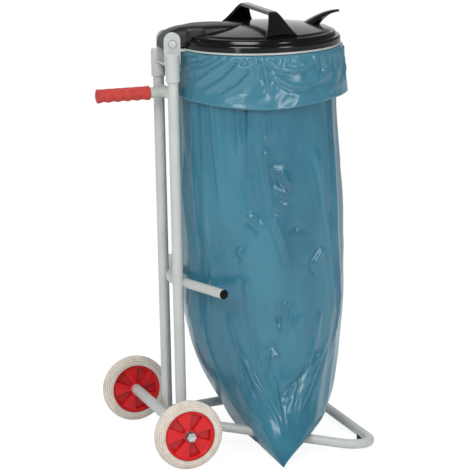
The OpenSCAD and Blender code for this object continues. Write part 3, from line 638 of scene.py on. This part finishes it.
def facets(x, y, shapes):
    """Three-sided dents with crisp edges: inside each triangle the film sinks by depth * 3 * the smallest of
    the point's three barycentric shares."""
    out = np.zeros(np.broadcast(x, y).shape)
    for depth, ((x0, y0), (x1, y1), (x2, y2)) in shapes:
        area = (y1 - y2) * (x0 - x2) + (x2 - x1) * (y0 - y2)
        a = ((y1 - y2) * (x - x2) + (x2 - x1) * (y - y2)) / area
        b = ((y2 - y0) * (x - x2) + (x0 - x2) * (y - y2)) / area
        out -= depth * 3 * np.maximum(np.minimum(np.minimum(a, b), 1 - a - b), 0)
    return out


def unrolled(turn):
    """Degrees round the ring on the film cut open at 71 degrees, where no fold is drawn."""
    return (turn + 289) % 360 - 289


def on_film(points):
    """Turn in degrees and height in millimetres to millimetres on the flat film."""
    return [(unrolled(turn) * FILM_ARC, z) for turn, z in points]


# Folds of the hanging film: depth, width, and the line as turn in degrees and height
BODY_FOLDS = [
    (6.5, 7, on_film(line))
    for line in (
        [(-103, 870), (-103, 745), (-108, 724)],
        [(-108, 722), (-101, 558), (-97, 525), (-88, 420)],
        [(-66, 700), (-55, 500), (-52, 380), (-50, 300)],
        [(-44, 870), (-46, 500), (-40, 300), (-46, 180)],
        [(-146, 870), (-141, 650), (-138, 560)],
        [(-163, 870), (-166, 620), (-160, 430)],
        [(-155, 870), (-152, 520), (-146, 330)],
        [(-126, 870), (-124, 690)],
        [(-116, 870), (-118, 640), (-113, 560)],
        [(-58, 230), (-74, 175), (-96, 118)],
        [(-88, 350), (-93, 285)],
        [(-122, 420), (-118, 300), (-108, 190)],
        [(-136, 330), (-128, 240), (-112, 110)],
        [(-90, 100), (-90, 40)],
        [(-92, 10), (-101, 90), (-118, 170), (-132, 270)],
        [(-88, 10), (-80, 90), (-66, 160), (-50, 280)],
        [(-91, 14), (-97, 110), (-104, 200)],
        [(-66, 330), (-70, 210), (-80, 90)],
    )
] + [
    (7.5, 6.5, on_film(line))
    for line in (
        [(-103, 664), (-95, 660), (-88, 622)],
        [(-95, 358), (-95, 292)],
        [(-103, 238), (-105, 185)],
        [(-120, 560), (-112, 548), (-108, 520)],
        [(-128, 480), (-122, 462)],
        [(-62, 470), (-70, 440), (-66, 415)],
    )
]

# Broader folds round the rest of the film
BODY_FOLDS += [
    (5, 12, on_film(line))
    for line in (
        [(20, 870), (14, 300)],
        [(50, 870), (57, 350)],
        [(90, 870), (97, 300)],
        [(113, 870), (105, 420)],
        [(132, 870), (124, 300)],
        [(152, 870), (161, 400)],
        [(175, 870), (168, 300)],
        [(-12, 870), (-20, 300)],
        [(4, 330), (14, 70)],
        [(44, 300), (52, 80)],
        [(100, 320), (92, 70)],
        [(152, 320), (141, 90)],
    )
]

# Dents of the hanging film: depth, and the corners as turn in degrees and height
BODY_DENTS = [
    (depth, on_film(corners))
    for depth, corners in (
        (5.5, [(-131, 830), (-116, 830), (-121, 712)]),
        (5.5, [(-106, 634), (-97, 662), (-88, 608)]),
        (5, [(-102, 612), (-82, 582), (-95, 590)]),
        (4.5, [(-107, 558), (-101, 582), (-95, 562)]),
        (5.5, [(-93, 520), (-86, 550), (-73, 514)]),
        (6, [(-105, 334), (-94, 328), (-95, 286)]),
        (6.5, [(-91, 356), (-77, 342), (-94, 268)]),
        (6.5, [(-112, 264), (-100, 270), (-94, 226)]),
        (6, [(-152, 96), (-106, 84), (-124, 46)]),
        (8, [(-52, 222), (-100, 156), (-101, 80)]),
        (5, [(-62, 650), (-44, 560), (-56, 400)]),
        (5, [(-152, 620), (-138, 470), (-156, 380)]),
        (5, [(-130, 260), (-115, 190), (-134, 140)]),
    )
]


def on_cuff(points):
    """Turn in degrees and share of the way down the cuff to millimetres on the flat film."""
    return [(unrolled(turn) * FILM_ARC, -CUFF_DEPTH * share) for turn, share in points]


# Folds of the cuff: slanting puckers at both ends of the side that shows and a swag hung from a pinch between
CUFF_FOLDS = [
    (6.5, 4.2, on_cuff(line))
    for line in (
        [(-125, 0.0), (-140, 0.3), (-160, 0.72)],
        [(-131, 0.0), (-146, 0.28), (-166, 0.5)],
        [(-138, 0.0), (-150, 0.22), (-167, 0.34)],
        [(-148, 0.0), (-158, 0.18), (-168, 0.2)],
        [(-121, 0.12), (-134, 0.5), (-150, 0.8)],
        [(-113, 0.3), (-124, 0.6), (-138, 0.85)],
        [(-107, 0.05), (-105, 0.4), (-102, 0.75)],
        [(-106, 0.1), (-97, 0.27), (-86, 0.34), (-74, 0.28), (-64, 0.05)],
        [(-110, 0.1), (-117, 0.22), (-126, 0.24)],
        [(-100, 0.42), (-88, 0.62), (-74, 0.68), (-60, 0.5)],
        [(-62, 0.03), (-60, 0.4), (-66, 0.7)],
        [(-55, 0.02), (-53, 0.3)],
        [(-50, 0.02), (-46, 0.45), (-50, 0.8)],
        [(-43, 0.02), (-38, 0.5)],
        [(-34, 0.02), (-30, 0.8)],
    )
] + [
    (4, 7, on_cuff(line))
    for line in (
        [(-20, 0.02), (-24, 0.7)],
        [(-8, 0.02), (-3, 0.6)],
        [(10, 0.02), (4, 0.7)],
        [(26, 0.02), (33, 0.6)],
        [(44, 0.02), (38, 0.8)],
        [(56, 0.02), (60, 0.5)],
        [(88, 0.02), (84, 0.7)],
        [(101, 0.02), (107, 0.6)],
        [(118, 0.02), (112, 0.8)],
        [(133, 0.02), (140, 0.5)],
        [(150, 0.02), (146, 0.7)],
        [(168, 0.02), (172, 0.6)],
    )
] + [
    (2.4, 2.4, on_cuff([(turn, 0.0), (turn + lean, 0.16)]))
    for turn, lean in (
        (-164, -1), (-158, -2), (-152, -3), (-145, -4), (-141, -3), (-134, -4), (-128, -3), (-118, 2),
        (-112, 1), (-103, -1), (-98, 2), (-90, 1), (-82, -1), (-70, 1), (-66, 2), (-60, -1), (-57, 1),
        (-52, 1), (-47, -1), (-40, 1), (-36, -1), (-28, 1), (-14, 1), (1, -1), (18, 1), (36, -1), (50, 1),
        (62, -1), (92, 1), (110, -1), (126, 1), (158, 1),
    )
]


def body_fold(turn, z, crumple):
    """How far the folds push the film out at a turn and height: soft noise, drawn folds and dents, gone where
    the band holds the film and along its seam."""
    u, v = turn / (2 * np.pi), z / 1000
    degrees = unrolled(np.degrees(turn))
    warp = 0.02 * soft_noise(u, v, 7, 5, 3)
    long_folds = 1 - 2.4 * np.abs(soft_noise(u + warp, v, 22, 2.2, 5))
    short_folds = 1 - 2.6 * np.abs(soft_noise(u + warp * 1.5, v, 34, 7, 9))
    drawn = ridges(degrees * FILM_ARC, z, BODY_FOLDS) + facets(degrees * FILM_ARC, z, BODY_DENTS)
    # The side that faces the loop's near bar hangs smooth; pleats gather at both ends of it
    gathered = 1 - 0.8 * np.exp(-(((degrees + 100) / 36) ** 2))
    pleats = gathered * (0.46 * long_folds + 0.1 * short_folds * bump_step(z, 60, 200))
    fold = crumple * (pleats + 0.3 * soft_noise(u, v, 9, 6, 12) - 0.3) + drawn
    limit = 9
    fold = np.where(fold > 0, limit * np.tanh(fold / limit), fold)
    free = (1 - bump_step(z, 800, 868)) * bump_step(z, 20, 150)
    # Under the cuff the film draws in on its front side
    drawn_in = 13 * bump_step(z, 500, 800) * (1 - bump_step(z, 805, 880)) * np.clip(np.cos(turn + 0.2), 0, 1)
    return free * fold - drawn_in


def film_body(turn, low_rows, wall_rows, neck_rows, crumple):
    """The film from its seam up to its neck, pushed out along the ring's radius by its folds."""
    columns = turn.shape[1]
    t = 1 - (1 - np.linspace(1, 0, low_rows, endpoint=False)[:, None]) ** 1.35
    low = sack_wall(np.repeat(turn, low_rows, 0), np.repeat(t, columns, 1))
    wall = np.linspace(FLATTEN_Z, WALL_TOP_Z, wall_rows, endpoint=False)
    z = np.concatenate([wall, np.linspace(WALL_TOP_Z, NECK_TOP_Z, neck_rows)])[:, None]
    radius = FILM_R - (FILM_R - NECK_R) * bump_step(z, 830, 905)
    up = np.stack([RING_X + radius * np.cos(turn), radius * np.sin(turn), np.repeat(z, columns, 1)], -1)
    body = np.concatenate([low, up])
    turn = np.repeat(turn, len(body), 0)
    out = np.stack([np.cos(turn), np.sin(turn), 0 * turn], -1)
    return body + body_fold(turn, body[..., 2], crumple)[..., None] * out


def film_cuff(turn, rows, pleat):
    """The cuff, from the band down outside the film: pleated at its top and wavy at its lower edge."""
    s = np.linspace(0, 1, rows)[:, None]
    u = turn / (2 * np.pi)
    degrees = unrolled(np.degrees(turn))
    dip = 18 * np.exp(-(((degrees + 101) / 42) ** 2))
    edge = 822 - dip + 2.0 * np.sin(3 * turn) + 1.5 * soft_noise(u, 0 * u, 9, 1, 21)
    z = CUFF_TOP_Z - (CUFF_TOP_Z - edge) * s**1.08
    waves = soft_noise(u, s, 15, 1.6, 41)
    slack = 1 - 2.2 * np.abs(soft_noise(u + 0.05 * s, s, 19, 3.0, 43))
    crush = 1 - 2.4 * np.abs(soft_noise(u + 0.04 * s, s, 46, 4.5, 47))
    drawn = ridges(degrees * FILM_ARC, -CUFF_DEPTH * s, CUFF_FOLDS)
    folds = 0.3 * drawn * (1 - 0.4 * s) + 0.55 * waves * bump_step(s, 0.25, 0.95) + 0.2 * slack + 0.24 * crush
    r = 192.6 + 9.5 * s**2.6 + pleat * bump_step(s, 0.0, 0.1) * folds
    r = np.clip(r, 190.4 + 0.8 * s, 196.5 + 10 * s**1.6)
    return np.stack([RING_X + r * np.cos(turn), r * np.sin(turn), z], -1)


def sack_grid(columns, rows, pleat, crumple):
    """The sack as one sheet, from its seam up to the neck, over the band and down again as the cuff, and its
    map in metres round and up the sheet. The cuff's part of the map lies 2 m higher."""
    even = np.linspace(0, 2 * np.pi, columns, endpoint=False)[None, :]
    # Columns lie closer on the side that faces the camera
    turn = even - 0.5 * np.sin(even + math.radians(105))
    low_rows, wall_rows, neck_rows = (int(rows * share) for share in (0.36, 0.40, 0.06))
    cuff_rows = rows - low_rows - wall_rows - neck_rows
    ring = np.stack([np.cos(turn), np.sin(turn)], -1)
    over_band = [
        np.concatenate([[RING_X, 0] + radius * ring, np.full((1, columns, 1), z)], -1)
        for radius, z in ((NECK_R, 923.5), (186.5, 924.9), (189.3, 924.9))
    ]
    body = film_body(turn, low_rows, wall_rows, neck_rows, crumple)
    grid = over_bars(np.concatenate([body, *over_band, film_cuff(turn, cuff_rows, pleat)]))
    step = np.linalg.norm(np.diff(grid, axis=0), axis=2)
    along = np.concatenate([np.zeros((1, columns)), np.cumsum(step, 0)]) / 1000
    metres_round = 1.19
    uv = np.stack([np.repeat(turn / (2 * np.pi) * metres_round, len(grid), 0), along], -1)
    uv[-cuff_rows:, :, 1] += 2
    return grid, uv


def lid_profile():
    """Half section of the lid's bowl from its lower edge to the crown's middle, with two rolled steps."""
    steps = [(0, 0), (0, 12.0), (2.2, 16.4), (9.5, 17.0), (10.6, 21.5), (12.5, 26.2), (20.0, 27.6)]
    outline = [(LID_R - inwards, LID_Z + rise) for inwards, rise in steps]
    outer = rounded(outline + [(CROWN_R, CROWN_Z)], 3.2, 7)
    s = np.linspace(1, 0.004, 40)[1:]
    crown = np.stack([CROWN_R * s, CROWN_Z + CROWN_RISE * (1 - s**2)], 1)
    return np.concatenate([outer, crown])


def lid_shell():
    """The bowl: the outer section, then the same section one wall inside it, turned round the ring's axis."""
    outer = lid_profile()
    tangent = np.gradient(outer, axis=0)
    tangent /= np.linalg.norm(tangent, axis=1)[:, None]
    inner = outer + LID_WALL * np.stack([-np.abs(tangent[:, 1]) - 0.02, -np.abs(tangent[:, 0])], 1)
    inner[0] = [LID_R - LID_WALL, LID_Z]
    inner[:, 0] = np.maximum(inner[:, 0], 0.6)
    lip = np.array([[LID_R - 0.4, LID_Z], [LID_R - 2.4, LID_Z]])
    return turned(np.concatenate([outer[::-1], lip, inner]), 256, [RING_X, 0, 0])


def hood_width(x):
    """Half width of the hood at a distance in front of the hinge: narrow between the cheeks, round at its
    nose."""
    front = np.clip((x - 118) / 58.5, 0, 0.999)
    return (27.0 + (45.0 - 27.0) * bump_step(x, 33, 75)) * np.sqrt(1 - front**2) + 0.6


def squared(wave, power):
    """A sine or cosine pushed towards its ends, which makes a circle a rounded square."""
    return np.sign(wave) * np.abs(wave) ** power


def hood_sections():
    """The hood as cross sections along its side outline. Each is a flattened arch with rounded shoulders,
    from the hood's foot up to the outline's height."""
    side = [
        (-19.5, -8.8), (-19.5, 2.0), (-16.5, 13.5), (-9.0, 23.0), (3.5, 30.5), (22.5, 35.6), (55.5, 38.3),
        (91.5, 39.0), (125.0, 38.0), (152.0, 35.2), (176.0, 33.6),
    ]
    line = resampled(rounded(side, 9, 8), 110)
    x, top = line[:, :1], line[:, 1:]
    foot = np.where(x > 34, -8.8 + (x - 34) * 0.75, -8.8)
    foot = np.minimum(foot, top - 0.5)
    foot = np.where(x > 60, np.minimum(foot, 12.0), foot)
    a = np.linspace(0, np.pi, 61)
    y = hood_width(x) * squared(np.cos(a), 0.34)
    z = foot + (top - foot) * squared(np.sin(a), 0.34)
    return np.stack([PIVOT_X + x + 0 * y, y, PIVOT_Z + z], -1)


def tab_grid():
    """The opening tab: a horn whose upper and lower lines run forward, with an arched top and a scooped
    underside."""
    upper = [(350, 953), (362, 966), (378, 974.5), (398, 984), (420, 992), (440, 996), (456.2, 996.3)]
    under = [(392, 946), (405, 962), (416, 974), (430, 984), (444, 992), (456.0, 995.5)]
    upper, under = (resampled(rounded(line, 14, 6), 48) for line in (upper, under))
    s = np.linspace(0, 1, 48)[:, None]
    half = 31 - 19.5 * s**0.85
    half[-3:, 0] *= [0.93, 0.8, 0.5]
    a = np.linspace(-1, 1, 33)
    arch = 1 - np.abs(a) ** 2.4
    top_x = np.repeat(upper[:, :1], len(a), 1)
    top_z = upper[:, 1:] - (3.0 + 7.0 * (1 - s)) * (1 - arch)
    low_x = under[:, :1] * arch + top_x * (1 - arch)
    low_z = np.minimum(under[:, 1:], top_z - 1.4) * arch + (top_z - 1.0) * (1 - arch)
    top = np.stack([top_x, half * a, top_z], -1)
    low = np.stack([low_x, half * a * 0.995, low_z], -1)
    return np.concatenate([top, low[:, ::-1]], 1)


def handle_grid():
    """The lid handle: rounded oblong sections square to its line, which climbs one leg, crosses and comes
    down. The legs widen downwards like a flared hem and carry a ridge down their outer face."""
    leg = [(-156, 960), (-146, 968), (-112, 1000), (-98, 1008.2)]
    line = resampled(rounded(leg + [(-y, z) for y, z in leg[::-1]], 16, 9), 161)
    step = np.gradient(line, axis=0)
    step /= np.linalg.norm(step, axis=1)[:, None]
    y, z = line[:, :1], line[:, 1:]
    flare = bump_step(np.abs(y), 92, 150)
    half_w = 10.0 + 28.0 * np.clip((np.abs(y) - 90) / 64, 0, 1) ** 1.5
    a = np.linspace(0, 2 * np.pi, 48, endpoint=False)
    across, up = squared(np.cos(a), 0.42), squared(np.sin(a), 0.42)
    off = (4.6 + 2.0 * flare) * up + 5.0 * flare * np.maximum(up, 0) * (1 - np.abs(across))
    top = np.minimum(z + step[:, :1] * off, LID_Z + 82.4)
    return np.stack([RING_X + half_w * across, y - step[:, 1:] * off, top], -1)


def ring_section():
    """Section of the ring: an upright band with a flange out over the film's neck, all corners rounded."""
    inner, flange, wall = 180.0, 188.0, 3.0
    foot, step, top = 900.6, 925.6, 930.9
    start = (inner + wall / 2, foot)
    corners = [
        (inner + wall, foot), (inner + wall, step), (flange, step), (flange, top), (inner, top), (inner, foot)
    ]
    return rounded([start, *corners, start], 2.4, 7)


def hub_face(columns):
    """One face of a hub on a polar grid: height by radius from boss to rim, less five wedge pockets with
    drafted walls; and how much painted shade each point gets: more the farther down in a pocket, and on a
    thin line by the rim."""
    boss, web, rim = np.linspace(6.1, 17, 16), np.linspace(17.8, 48, 34), np.linspace(48.6, 58, 20)
    r = np.concatenate([boss, web, rim])[:, None]
    a = np.linspace(0, 2 * np.pi, columns, endpoint=False)[None, :]
    radii = [6.1, 11.5, 12.6, 13.6, 16.5, 52.0, 53.5, 54.5, 57.2, 58]
    height = np.interp(r, radii, [15, 15, 14.2, 12.2, 10.8, 9.6, 11.0, 12.8, 13, 12.4])
    fifth = 2 * np.pi / 5
    turn = (a - np.pi / 2 + np.radians(22)) % fifth
    turn = np.minimum(turn, fifth - turn)
    edge = r * (np.radians(15.5) - turn)
    inside = bump_step(edge, -0.5, 0.9) * bump_step(r, 14.5, 16.2) * (1 - bump_step(r, 49.4, 50.8))
    between = bump_step(r, 17, 24) * (1 - bump_step(r, 46, 51)) * (turn / np.radians(36) - 0.6)
    h = height - 9.0 * inside * (0.85 + 0.15 * (r / 50)) + (1 - inside) * between * 2.0
    flat = np.stack([r * np.cos(a), r * np.sin(a)], -1)
    # Painted shade: a thin dark line by the rim, where the hub meets the tyre
    rim_painted_shade = 0.75 * np.exp(-(((r - 57.0) / 0.7) ** 2))
    return flat, h, np.maximum(inside, rim_painted_shade)


def hub_grid(side, columns=300):
    """Both faces of the hub joined over its rim, and through its bore, as one closed skin, with each point's
    painted shade as its map.
    """
    flat, h, painted_shade = hub_face(columns)
    outer = np.stack([flat[..., 0], h, flat[..., 1]], -1)
    inner = np.stack([flat[..., 0], -h, flat[..., 1]], -1)
    grid = np.concatenate([outer, inner[::-1], outer[:1]])
    painted_shade = np.concatenate([painted_shade, painted_shade[::-1], painted_shade[:1]])
    return grid + [0, side * WHEEL_Y, AXLE_Z], np.stack([0 * painted_shade, painted_shade], -1)


def tyre_section():
    """Half round tyre section, closed through its bore: three grooves in each wall lower the radius by
    exp(-(angle off the groove)^2)."""
    a = np.linspace(-0.5 * np.pi, 0.5 * np.pi, 150)
    r = 16 - 1.2 * np.exp(-(((np.abs(a)[:, None] - [0.56, 0.92, 1.28]) / 0.07) ** 2)).sum(1)
    arch = np.stack([64 + r * np.cos(a), r * np.sin(a)], 1)
    foot = np.array([[59.2, 15.6], [58.06, 14.6]])
    section = np.concatenate([foot * [1, -1], arch, foot])
    return np.concatenate([section, section[:1]])


def grip_grid():
    """Grip: a round bar whose radius waves for the fingers, more on its lower side, with a collar at each
    end."""
    s = np.linspace(0, 1, 140)[:, None]
    a = np.linspace(0, 2 * np.pi, 72, endpoint=False)[None]
    body = bump_step(s, 0.03, 0.09) * (1 - bump_step(s, 0.93, 0.975))
    wave = 0.5 - 0.5 * np.cos(2 * np.pi * 5 * (s - 0.06) / 0.88)
    under = 0.45 + 0.55 * np.clip(-np.sin(a), -0.4, 1)
    ends = np.minimum(bump_step(s, -0.001, 0.035), 1 - 0.35 * bump_step(s, 0.985, 1.001))
    r = (16.4 - body * (0.5 + 2.0 * wave * under)) * np.sqrt(ends)
    r = np.maximum(r, np.where(s > 0.99, 12.6, 0.4))
    return np.stack([-134 + 128 * s + 0 * a, -r * np.cos(a), RUNG_Z + r * np.sin(a)], -1)


# Studio


def photo_camera():
    """A camera where the photograph was taken from."""
    azimuth, elevation, roll = math.radians(-18.314), math.radians(12.096), math.radians(-1.172)
    level = math.cos(elevation)
    back = Vector((math.sin(azimuth) * level, -math.cos(azimuth) * level, math.sin(elevation)))
    right = Vector((math.cos(azimuth), math.sin(azimuth), 0))
    up = back.cross(right)
    rolled_right = math.cos(roll) * right + math.sin(roll) * up
    rolled_up = -math.sin(roll) * right + math.cos(roll) * up
    data = bpy.data.cameras.new("camera")
    data.sensor_width, data.lens = 36, 193.07
    data.clip_start, data.clip_end = 0.1, 60
    camera = bpy.data.objects.new("camera", data)
    turn = Matrix((rolled_right, rolled_up, back)).transposed().to_4x4()
    camera.matrix_world = Matrix.Translation(Vector(place([-1613.2, -5453.6, 1714.1]))) @ turn
    return camera


def studio_world():
    """White to the camera and to transmitted rays; soft pale light for the rest. Reflections see a white
    backdrop straight behind the stand and a dim room round it."""
    world = bpy.data.worlds.new("studio")
    world.use_nodes = True
    tree = world.node_tree
    tree.nodes.clear()
    path = node(tree, "ShaderNodeLightPath").outputs
    links = {0: path["Is Camera Ray"], 1: path["Is Transmission Ray"]}
    seen = node(tree, "ShaderNodeMath", links=links, operation="MAXIMUM")
    room = node(tree, "ShaderNodeBackground", {"Color": (0.93, 0.96, 1.0, 1), "Strength": 0.65})
    white = node(tree, "ShaderNodeBackground", {"Color": (1, 1, 1, 1), "Strength": 1.0})
    direction = node(tree, "ShaderNodeTexCoord").outputs["Generated"]
    ahead = node(tree, "ShaderNodeSeparateXYZ", links={0: direction})
    level = node(
        tree, "ShaderNodeMapRange", {"From Min": 0.7, "From Max": 0.97, "To Min": 0.16, "To Max": 1.0},
        {"Value": ahead.outputs["Y"]},
    )
    mirror = node(tree, "ShaderNodeBackground", {"Color": (1, 1, 1, 1)}, {"Strength": level.outputs[0]})
    links = {0: path["Is Glossy Ray"], 1: room.outputs[0], 2: mirror.outputs[0]}
    soft = node(tree, "ShaderNodeMixShader", links=links)
    links = {0: seen.outputs[0], 1: soft.outputs[0], 2: white.outputs[0]}
    both = node(tree, "ShaderNodeMixShader", links=links)
    node(tree, "ShaderNodeOutputWorld", links={"Surface": both.outputs[0]})
    return world


def studio_lamps():
    """Four soft oval lamps, each with its place and target in metres, its size and its power in watts."""
    for name, where, size, power, target in (
        ("key", (-2.1, -2.5, 2.8), (2.6, 1.5), 66, (0.05, 0, 0.55)),
        ("front_fill", (1.0, -2.8, 1.5), (0.9, 1.3), 19, (0.1, 0, 0.5)),
        ("top", (0.35, 0.4, 3.0), (1.7, 2.2), 26, (0.1, 0, 0.5)),
        ("low_strip", (-2.3, -2.1, 1.1), (0.3, 1.3), 5, (0.1, 0, 0.6)),
    ):
        lamp = bpy.data.lights.new(name, "AREA")
        lamp.shape = "ELLIPSE"
        lamp.size, lamp.size_y = size
        lamp.energy = power
        holder = bpy.data.objects.new(name, lamp)
        holder.location = where
        # Mirrored, the top lamp makes the legs of the lid's handle too light
        holder.visible_glossy = name != "top"
        holder.rotation_euler = (Vector(target) - Vector(where)).to_track_quat("-Z", "Y").to_euler()
        yield holder


def floor_grid():
    """The studio floor, 14 m out each way and a hair under the stand's feet."""
    a = np.linspace(-14000, 14000, 9)
    x, y = np.meshgrid(a + MID_X, a)
    return np.stack([x, y, np.full_like(x, -0.4)], -1)


# Operators


class SACKSTAND_OT_stage(bpy.types.Operator):
    """Floor, lights, world and the camera at the photograph's angle"""

    bl_idname = "sackstand.stage"
    bl_label = "Stage"

    def execute(self, context):
        scene = context.scene
        scene.view_settings.view_transform = "Standard"
        scene.camera = photo_camera()
        scene.world = studio_world()
        for made in (scene.camera, *studio_lamps()):
            scene.collection.objects.link(made)
        surface("floor", floor_grid(), finish_of(floor_paper), around=False)
        return {"FINISHED"}


class SACKSTAND_OT_frame_tubes(bpy.types.Operator):
    """Uprights, axle, rung, handle tube, base loop, cradle bar and their welds"""

    bl_idname = "sackstand.frame_tubes"
    bl_label = "Frame tubes"

    def execute(self, context):
        for name in ("left_upright", "right_upright", "axle_tube", "rung", "handle_tube"):
            refined(name, powder_coat, STAND, "paint")
        skin("base_loop_tube", carried(loop_course(), LOOP_R, 56), powder_coat, STAND, "paint", "base_loop")
        skin("cradle_tube", carried(cradle_course(), LOOP_R, 56), powder_coat, STAND, "paint", "cradle_bar")
        bead = context.scene.sack_stand_sizes.weld_radius * 1000
        for word, side in (("right", -1), ("left", 1)):
            joint = (UPRIGHT_X, side * UPRIGHT_Y, RUNG_Z)
            weld_bead(f"{word}_rung_weld", joint, (0, 0, 1), (0, -side, 0), bead, side)
        weld_bead("handle_weld", (UPRIGHT_X, 0, RUNG_Z), (0, 1, 0), (-1, 0, 0), bead, 3)
        return {"FINISHED"}


class SACKSTAND_OT_bracket(bpy.types.Operator):
    """Sleeves, bracket, hinge bolt, the ring and the band round it"""

    bl_idname = "sackstand.bracket"
    bl_label = "Bracket and ring"

    def execute(self, context):
        width = context.scene.sack_stand_sizes.edge_round
        for name in ("left_sleeve", "right_sleeve"):
            refined(name, powder_coat, STAND, "paint", width * 1.6, 3)
        refined("ring_bracket", powder_coat, STAND, "paint", width)
        for name in ("pivot_bolt", "pivot_nut"):
            refined(name, zinc_plate, STAND, "zinc", width)
        grid = turned(ring_section(), 256, [RING_X, 0, 0])
        skin("ring_band", grid, powder_coat, STAND, "paint", "sack_ring", degrees=50, ends=False)
        refined("sack_band", stretched_rubber, STAND, "band", width)
        return {"FINISHED"}


class SACKSTAND_OT_grip(bpy.types.Operator):
    """Red grip with finger waves"""

    bl_idname = "sackstand.grip"
    bl_label = "Handle grip"

    def execute(self, context):
        skin("grip_sleeve", grip_grid(), soft_grip, STAND, "grip", "handle_grip", degrees=50)
        return {"FINISHED"}


class SACKSTAND_OT_small_parts(bpy.types.Operator):
    """Plugs, glides, axle rod, washers, nuts and screws"""

    bl_idname = "sackstand.small_parts"
    bl_label = "Small parts"

    def execute(self, context):
        width = context.scene.sack_stand_sizes.edge_round
        for name in ("left_arm_plug", "right_arm_plug", "left_glide", "right_glide"):
            refined(name, black_moulding, STAND, "black", width)
        for name in ("axle_rod", "left_axle_nut", "right_axle_nut"):
            refined(name, zinc_plate, STAND, "zinc", width)
        # The washers are drawn dark as painted shade round the axle nuts
        for name in ("left_axle_washer", "right_axle_washer"):
            refined(name, painted_shade_steel, STAND, "zinc", width)
        for name in ("left_handle_screw", "right_handle_screw"):
            refined(name, zinc_plate, LID_BODY, "zinc", width)
        return {"FINISHED"}


class SACKSTAND_OT_wheels(bpy.types.Operator):
    """Spoked hubs and solid tyres"""

    bl_idname = "sackstand.wheels"
    bl_label = "Wheels"

    def execute(self, context):
        section, columns = tyre_section(), 160
        run = np.concatenate([[0], np.cumsum(np.linalg.norm(np.diff(section, axis=0), axis=1))]) / 1000
        round_it = np.stack([np.zeros((len(section), columns)), np.repeat(run[:, None], columns, 1)], -1)
        for word, side in (("left", 1), ("right", -1)):
            body = f"{word}_wheel"
            # The hub's map carries its painted shade
            grid, painted_shade = hub_grid(side)
            layout = {"degrees": 42, "ends": False, "uv": painted_shade}
            skin(f"{word}_hub_moulding", grid, hub_moulding, body, "hub", f"{word}_hub", **layout)
            grid = turned(section, columns, [0, side * WHEEL_Y, AXLE_Z], (1, 2, 0))
            layout = {"degrees": 60, "ends": False, "uv": round_it}
            skin(f"{word}_tyre_rubber", grid, tyre_rubber, body, "tyre", f"{word}_tyre", **layout)
        return {"FINISHED"}


class SACKSTAND_OT_lid(bpy.types.Operator):
    """Lid bowl, hood, opening tab and handle"""

    bl_idname = "sackstand.lid"
    bl_label = "Lid"

    def execute(self, context):
        skin("lid_bowl", lid_shell(), gloss_moulding, LID_BODY, "lid", "lid", degrees=60)
        hood = outwards(surface("lid_hood", hood_sections(), finish_of(ribbed_moulding)))
        hood.data.materials.append(finish_of(satin_moulding))
        centre = np.empty(len(hood.data.polygons) * 3, np.float32)
        hood.data.polygons.foreach_get("center", centre)
        x, y = centre[0::3] * 1000 + MID_X - PIVOT_X, centre[1::3] * 1000
        flank = np.abs(y) > 0.93 * hood_width(x)
        hood.data.polygons.foreach_set("material_index", flank.astype(np.int32))
        finish_piece(sharpen(hood, 50), LID_BODY, "lid")
        skin("lid_tab", tab_grid(), gloss_moulding, LID_BODY, "lid", degrees=60)
        skin("lid_handle_bridge", handle_grid(), gloss_moulding, LID_BODY, "lid", "lid_handle", degrees=60)
        return {"FINISHED"}


class SACKSTAND_OT_sack(bpy.types.Operator):
    """Film sack with its cuff"""

    bl_idname = "sackstand.sack"
    bl_label = "Sack"

    def execute(self, context):
        sizes = context.scene.sack_stand_sizes
        columns = sizes.sack_columns
        grid, uv = sack_grid(columns, sizes.sack_rows, sizes.pleat_depth * 1000, sizes.crumple_depth * 1000)
        sack = surface("sack_film", grid, finish_of(sack_film), ends=False, uv=uv)
        seam = bmesh.new()
        seam.from_mesh(sack.data)
        rim = [e for e in seam.edges if e.is_boundary and all(v.index < columns for v in e.verts)]
        bmesh.ops.holes_fill(seam, edges=rim, sides=0)
        seam.to_mesh(sack.data)
        seam.free()
        wall = sack.modifiers.new("film", "SOLIDIFY")
        wall.thickness = sizes.film_thickness
        wall.offset = 0
        finish_piece(sack, STAND, "film", "sack")
        return {"FINISHED"}


class SACKSTAND_PT_panel(bpy.types.Panel):
    """Lists the stand's pieces"""

    bl_idname = "SACKSTAND_PT_panel"
    bl_label = "Sack stand"
    bl_space_type = "VIEW_3D"
    bl_region_type = "UI"
    bl_category = "Sack stand"

    def draw(self, context):
        for group in (context.scene.sack_stand_sizes, context.scene.sack_stand_colours):
            for name in group.__annotations__:
                self.layout.prop(group, name)
        for operator in OPERATORS:
            self.layout.operator(operator.bl_idname)


GROUPS = (SackStandColours, SackStandSizes)
OPERATORS = (
    SACKSTAND_OT_stage,
    SACKSTAND_OT_frame_tubes,
    SACKSTAND_OT_bracket,
    SACKSTAND_OT_grip,
    SACKSTAND_OT_small_parts,
    SACKSTAND_OT_wheels,
    SACKSTAND_OT_lid,
    SACKSTAND_OT_sack,
)


def register():
    for made in (*GROUPS, *OPERATORS, SACKSTAND_PT_panel):
        bpy.utils.register_class(made)
    bpy.types.Scene.sack_stand_colours = PointerProperty(type=SackStandColours)
    bpy.types.Scene.sack_stand_sizes = PointerProperty(type=SackStandSizes)


def unregister():
    del bpy.types.Scene.sack_stand_sizes
    del bpy.types.Scene.sack_stand_colours
    for made in reversed((*GROUPS, *OPERATORS, SACKSTAND_PT_panel)):
        bpy.utils.unregister_class(made)


def main():
    register()
    bpy.ops.sackstand.stage()
    bpy.ops.sackstand.frame_tubes()
    bpy.ops.sackstand.bracket()
    bpy.ops.sackstand.grip()
    bpy.ops.sackstand.small_parts()
    bpy.ops.sackstand.wheels()
    bpy.ops.sackstand.lid()
    bpy.ops.sackstand.sack()
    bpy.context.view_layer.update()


if __name__ == "__main__":
    main()
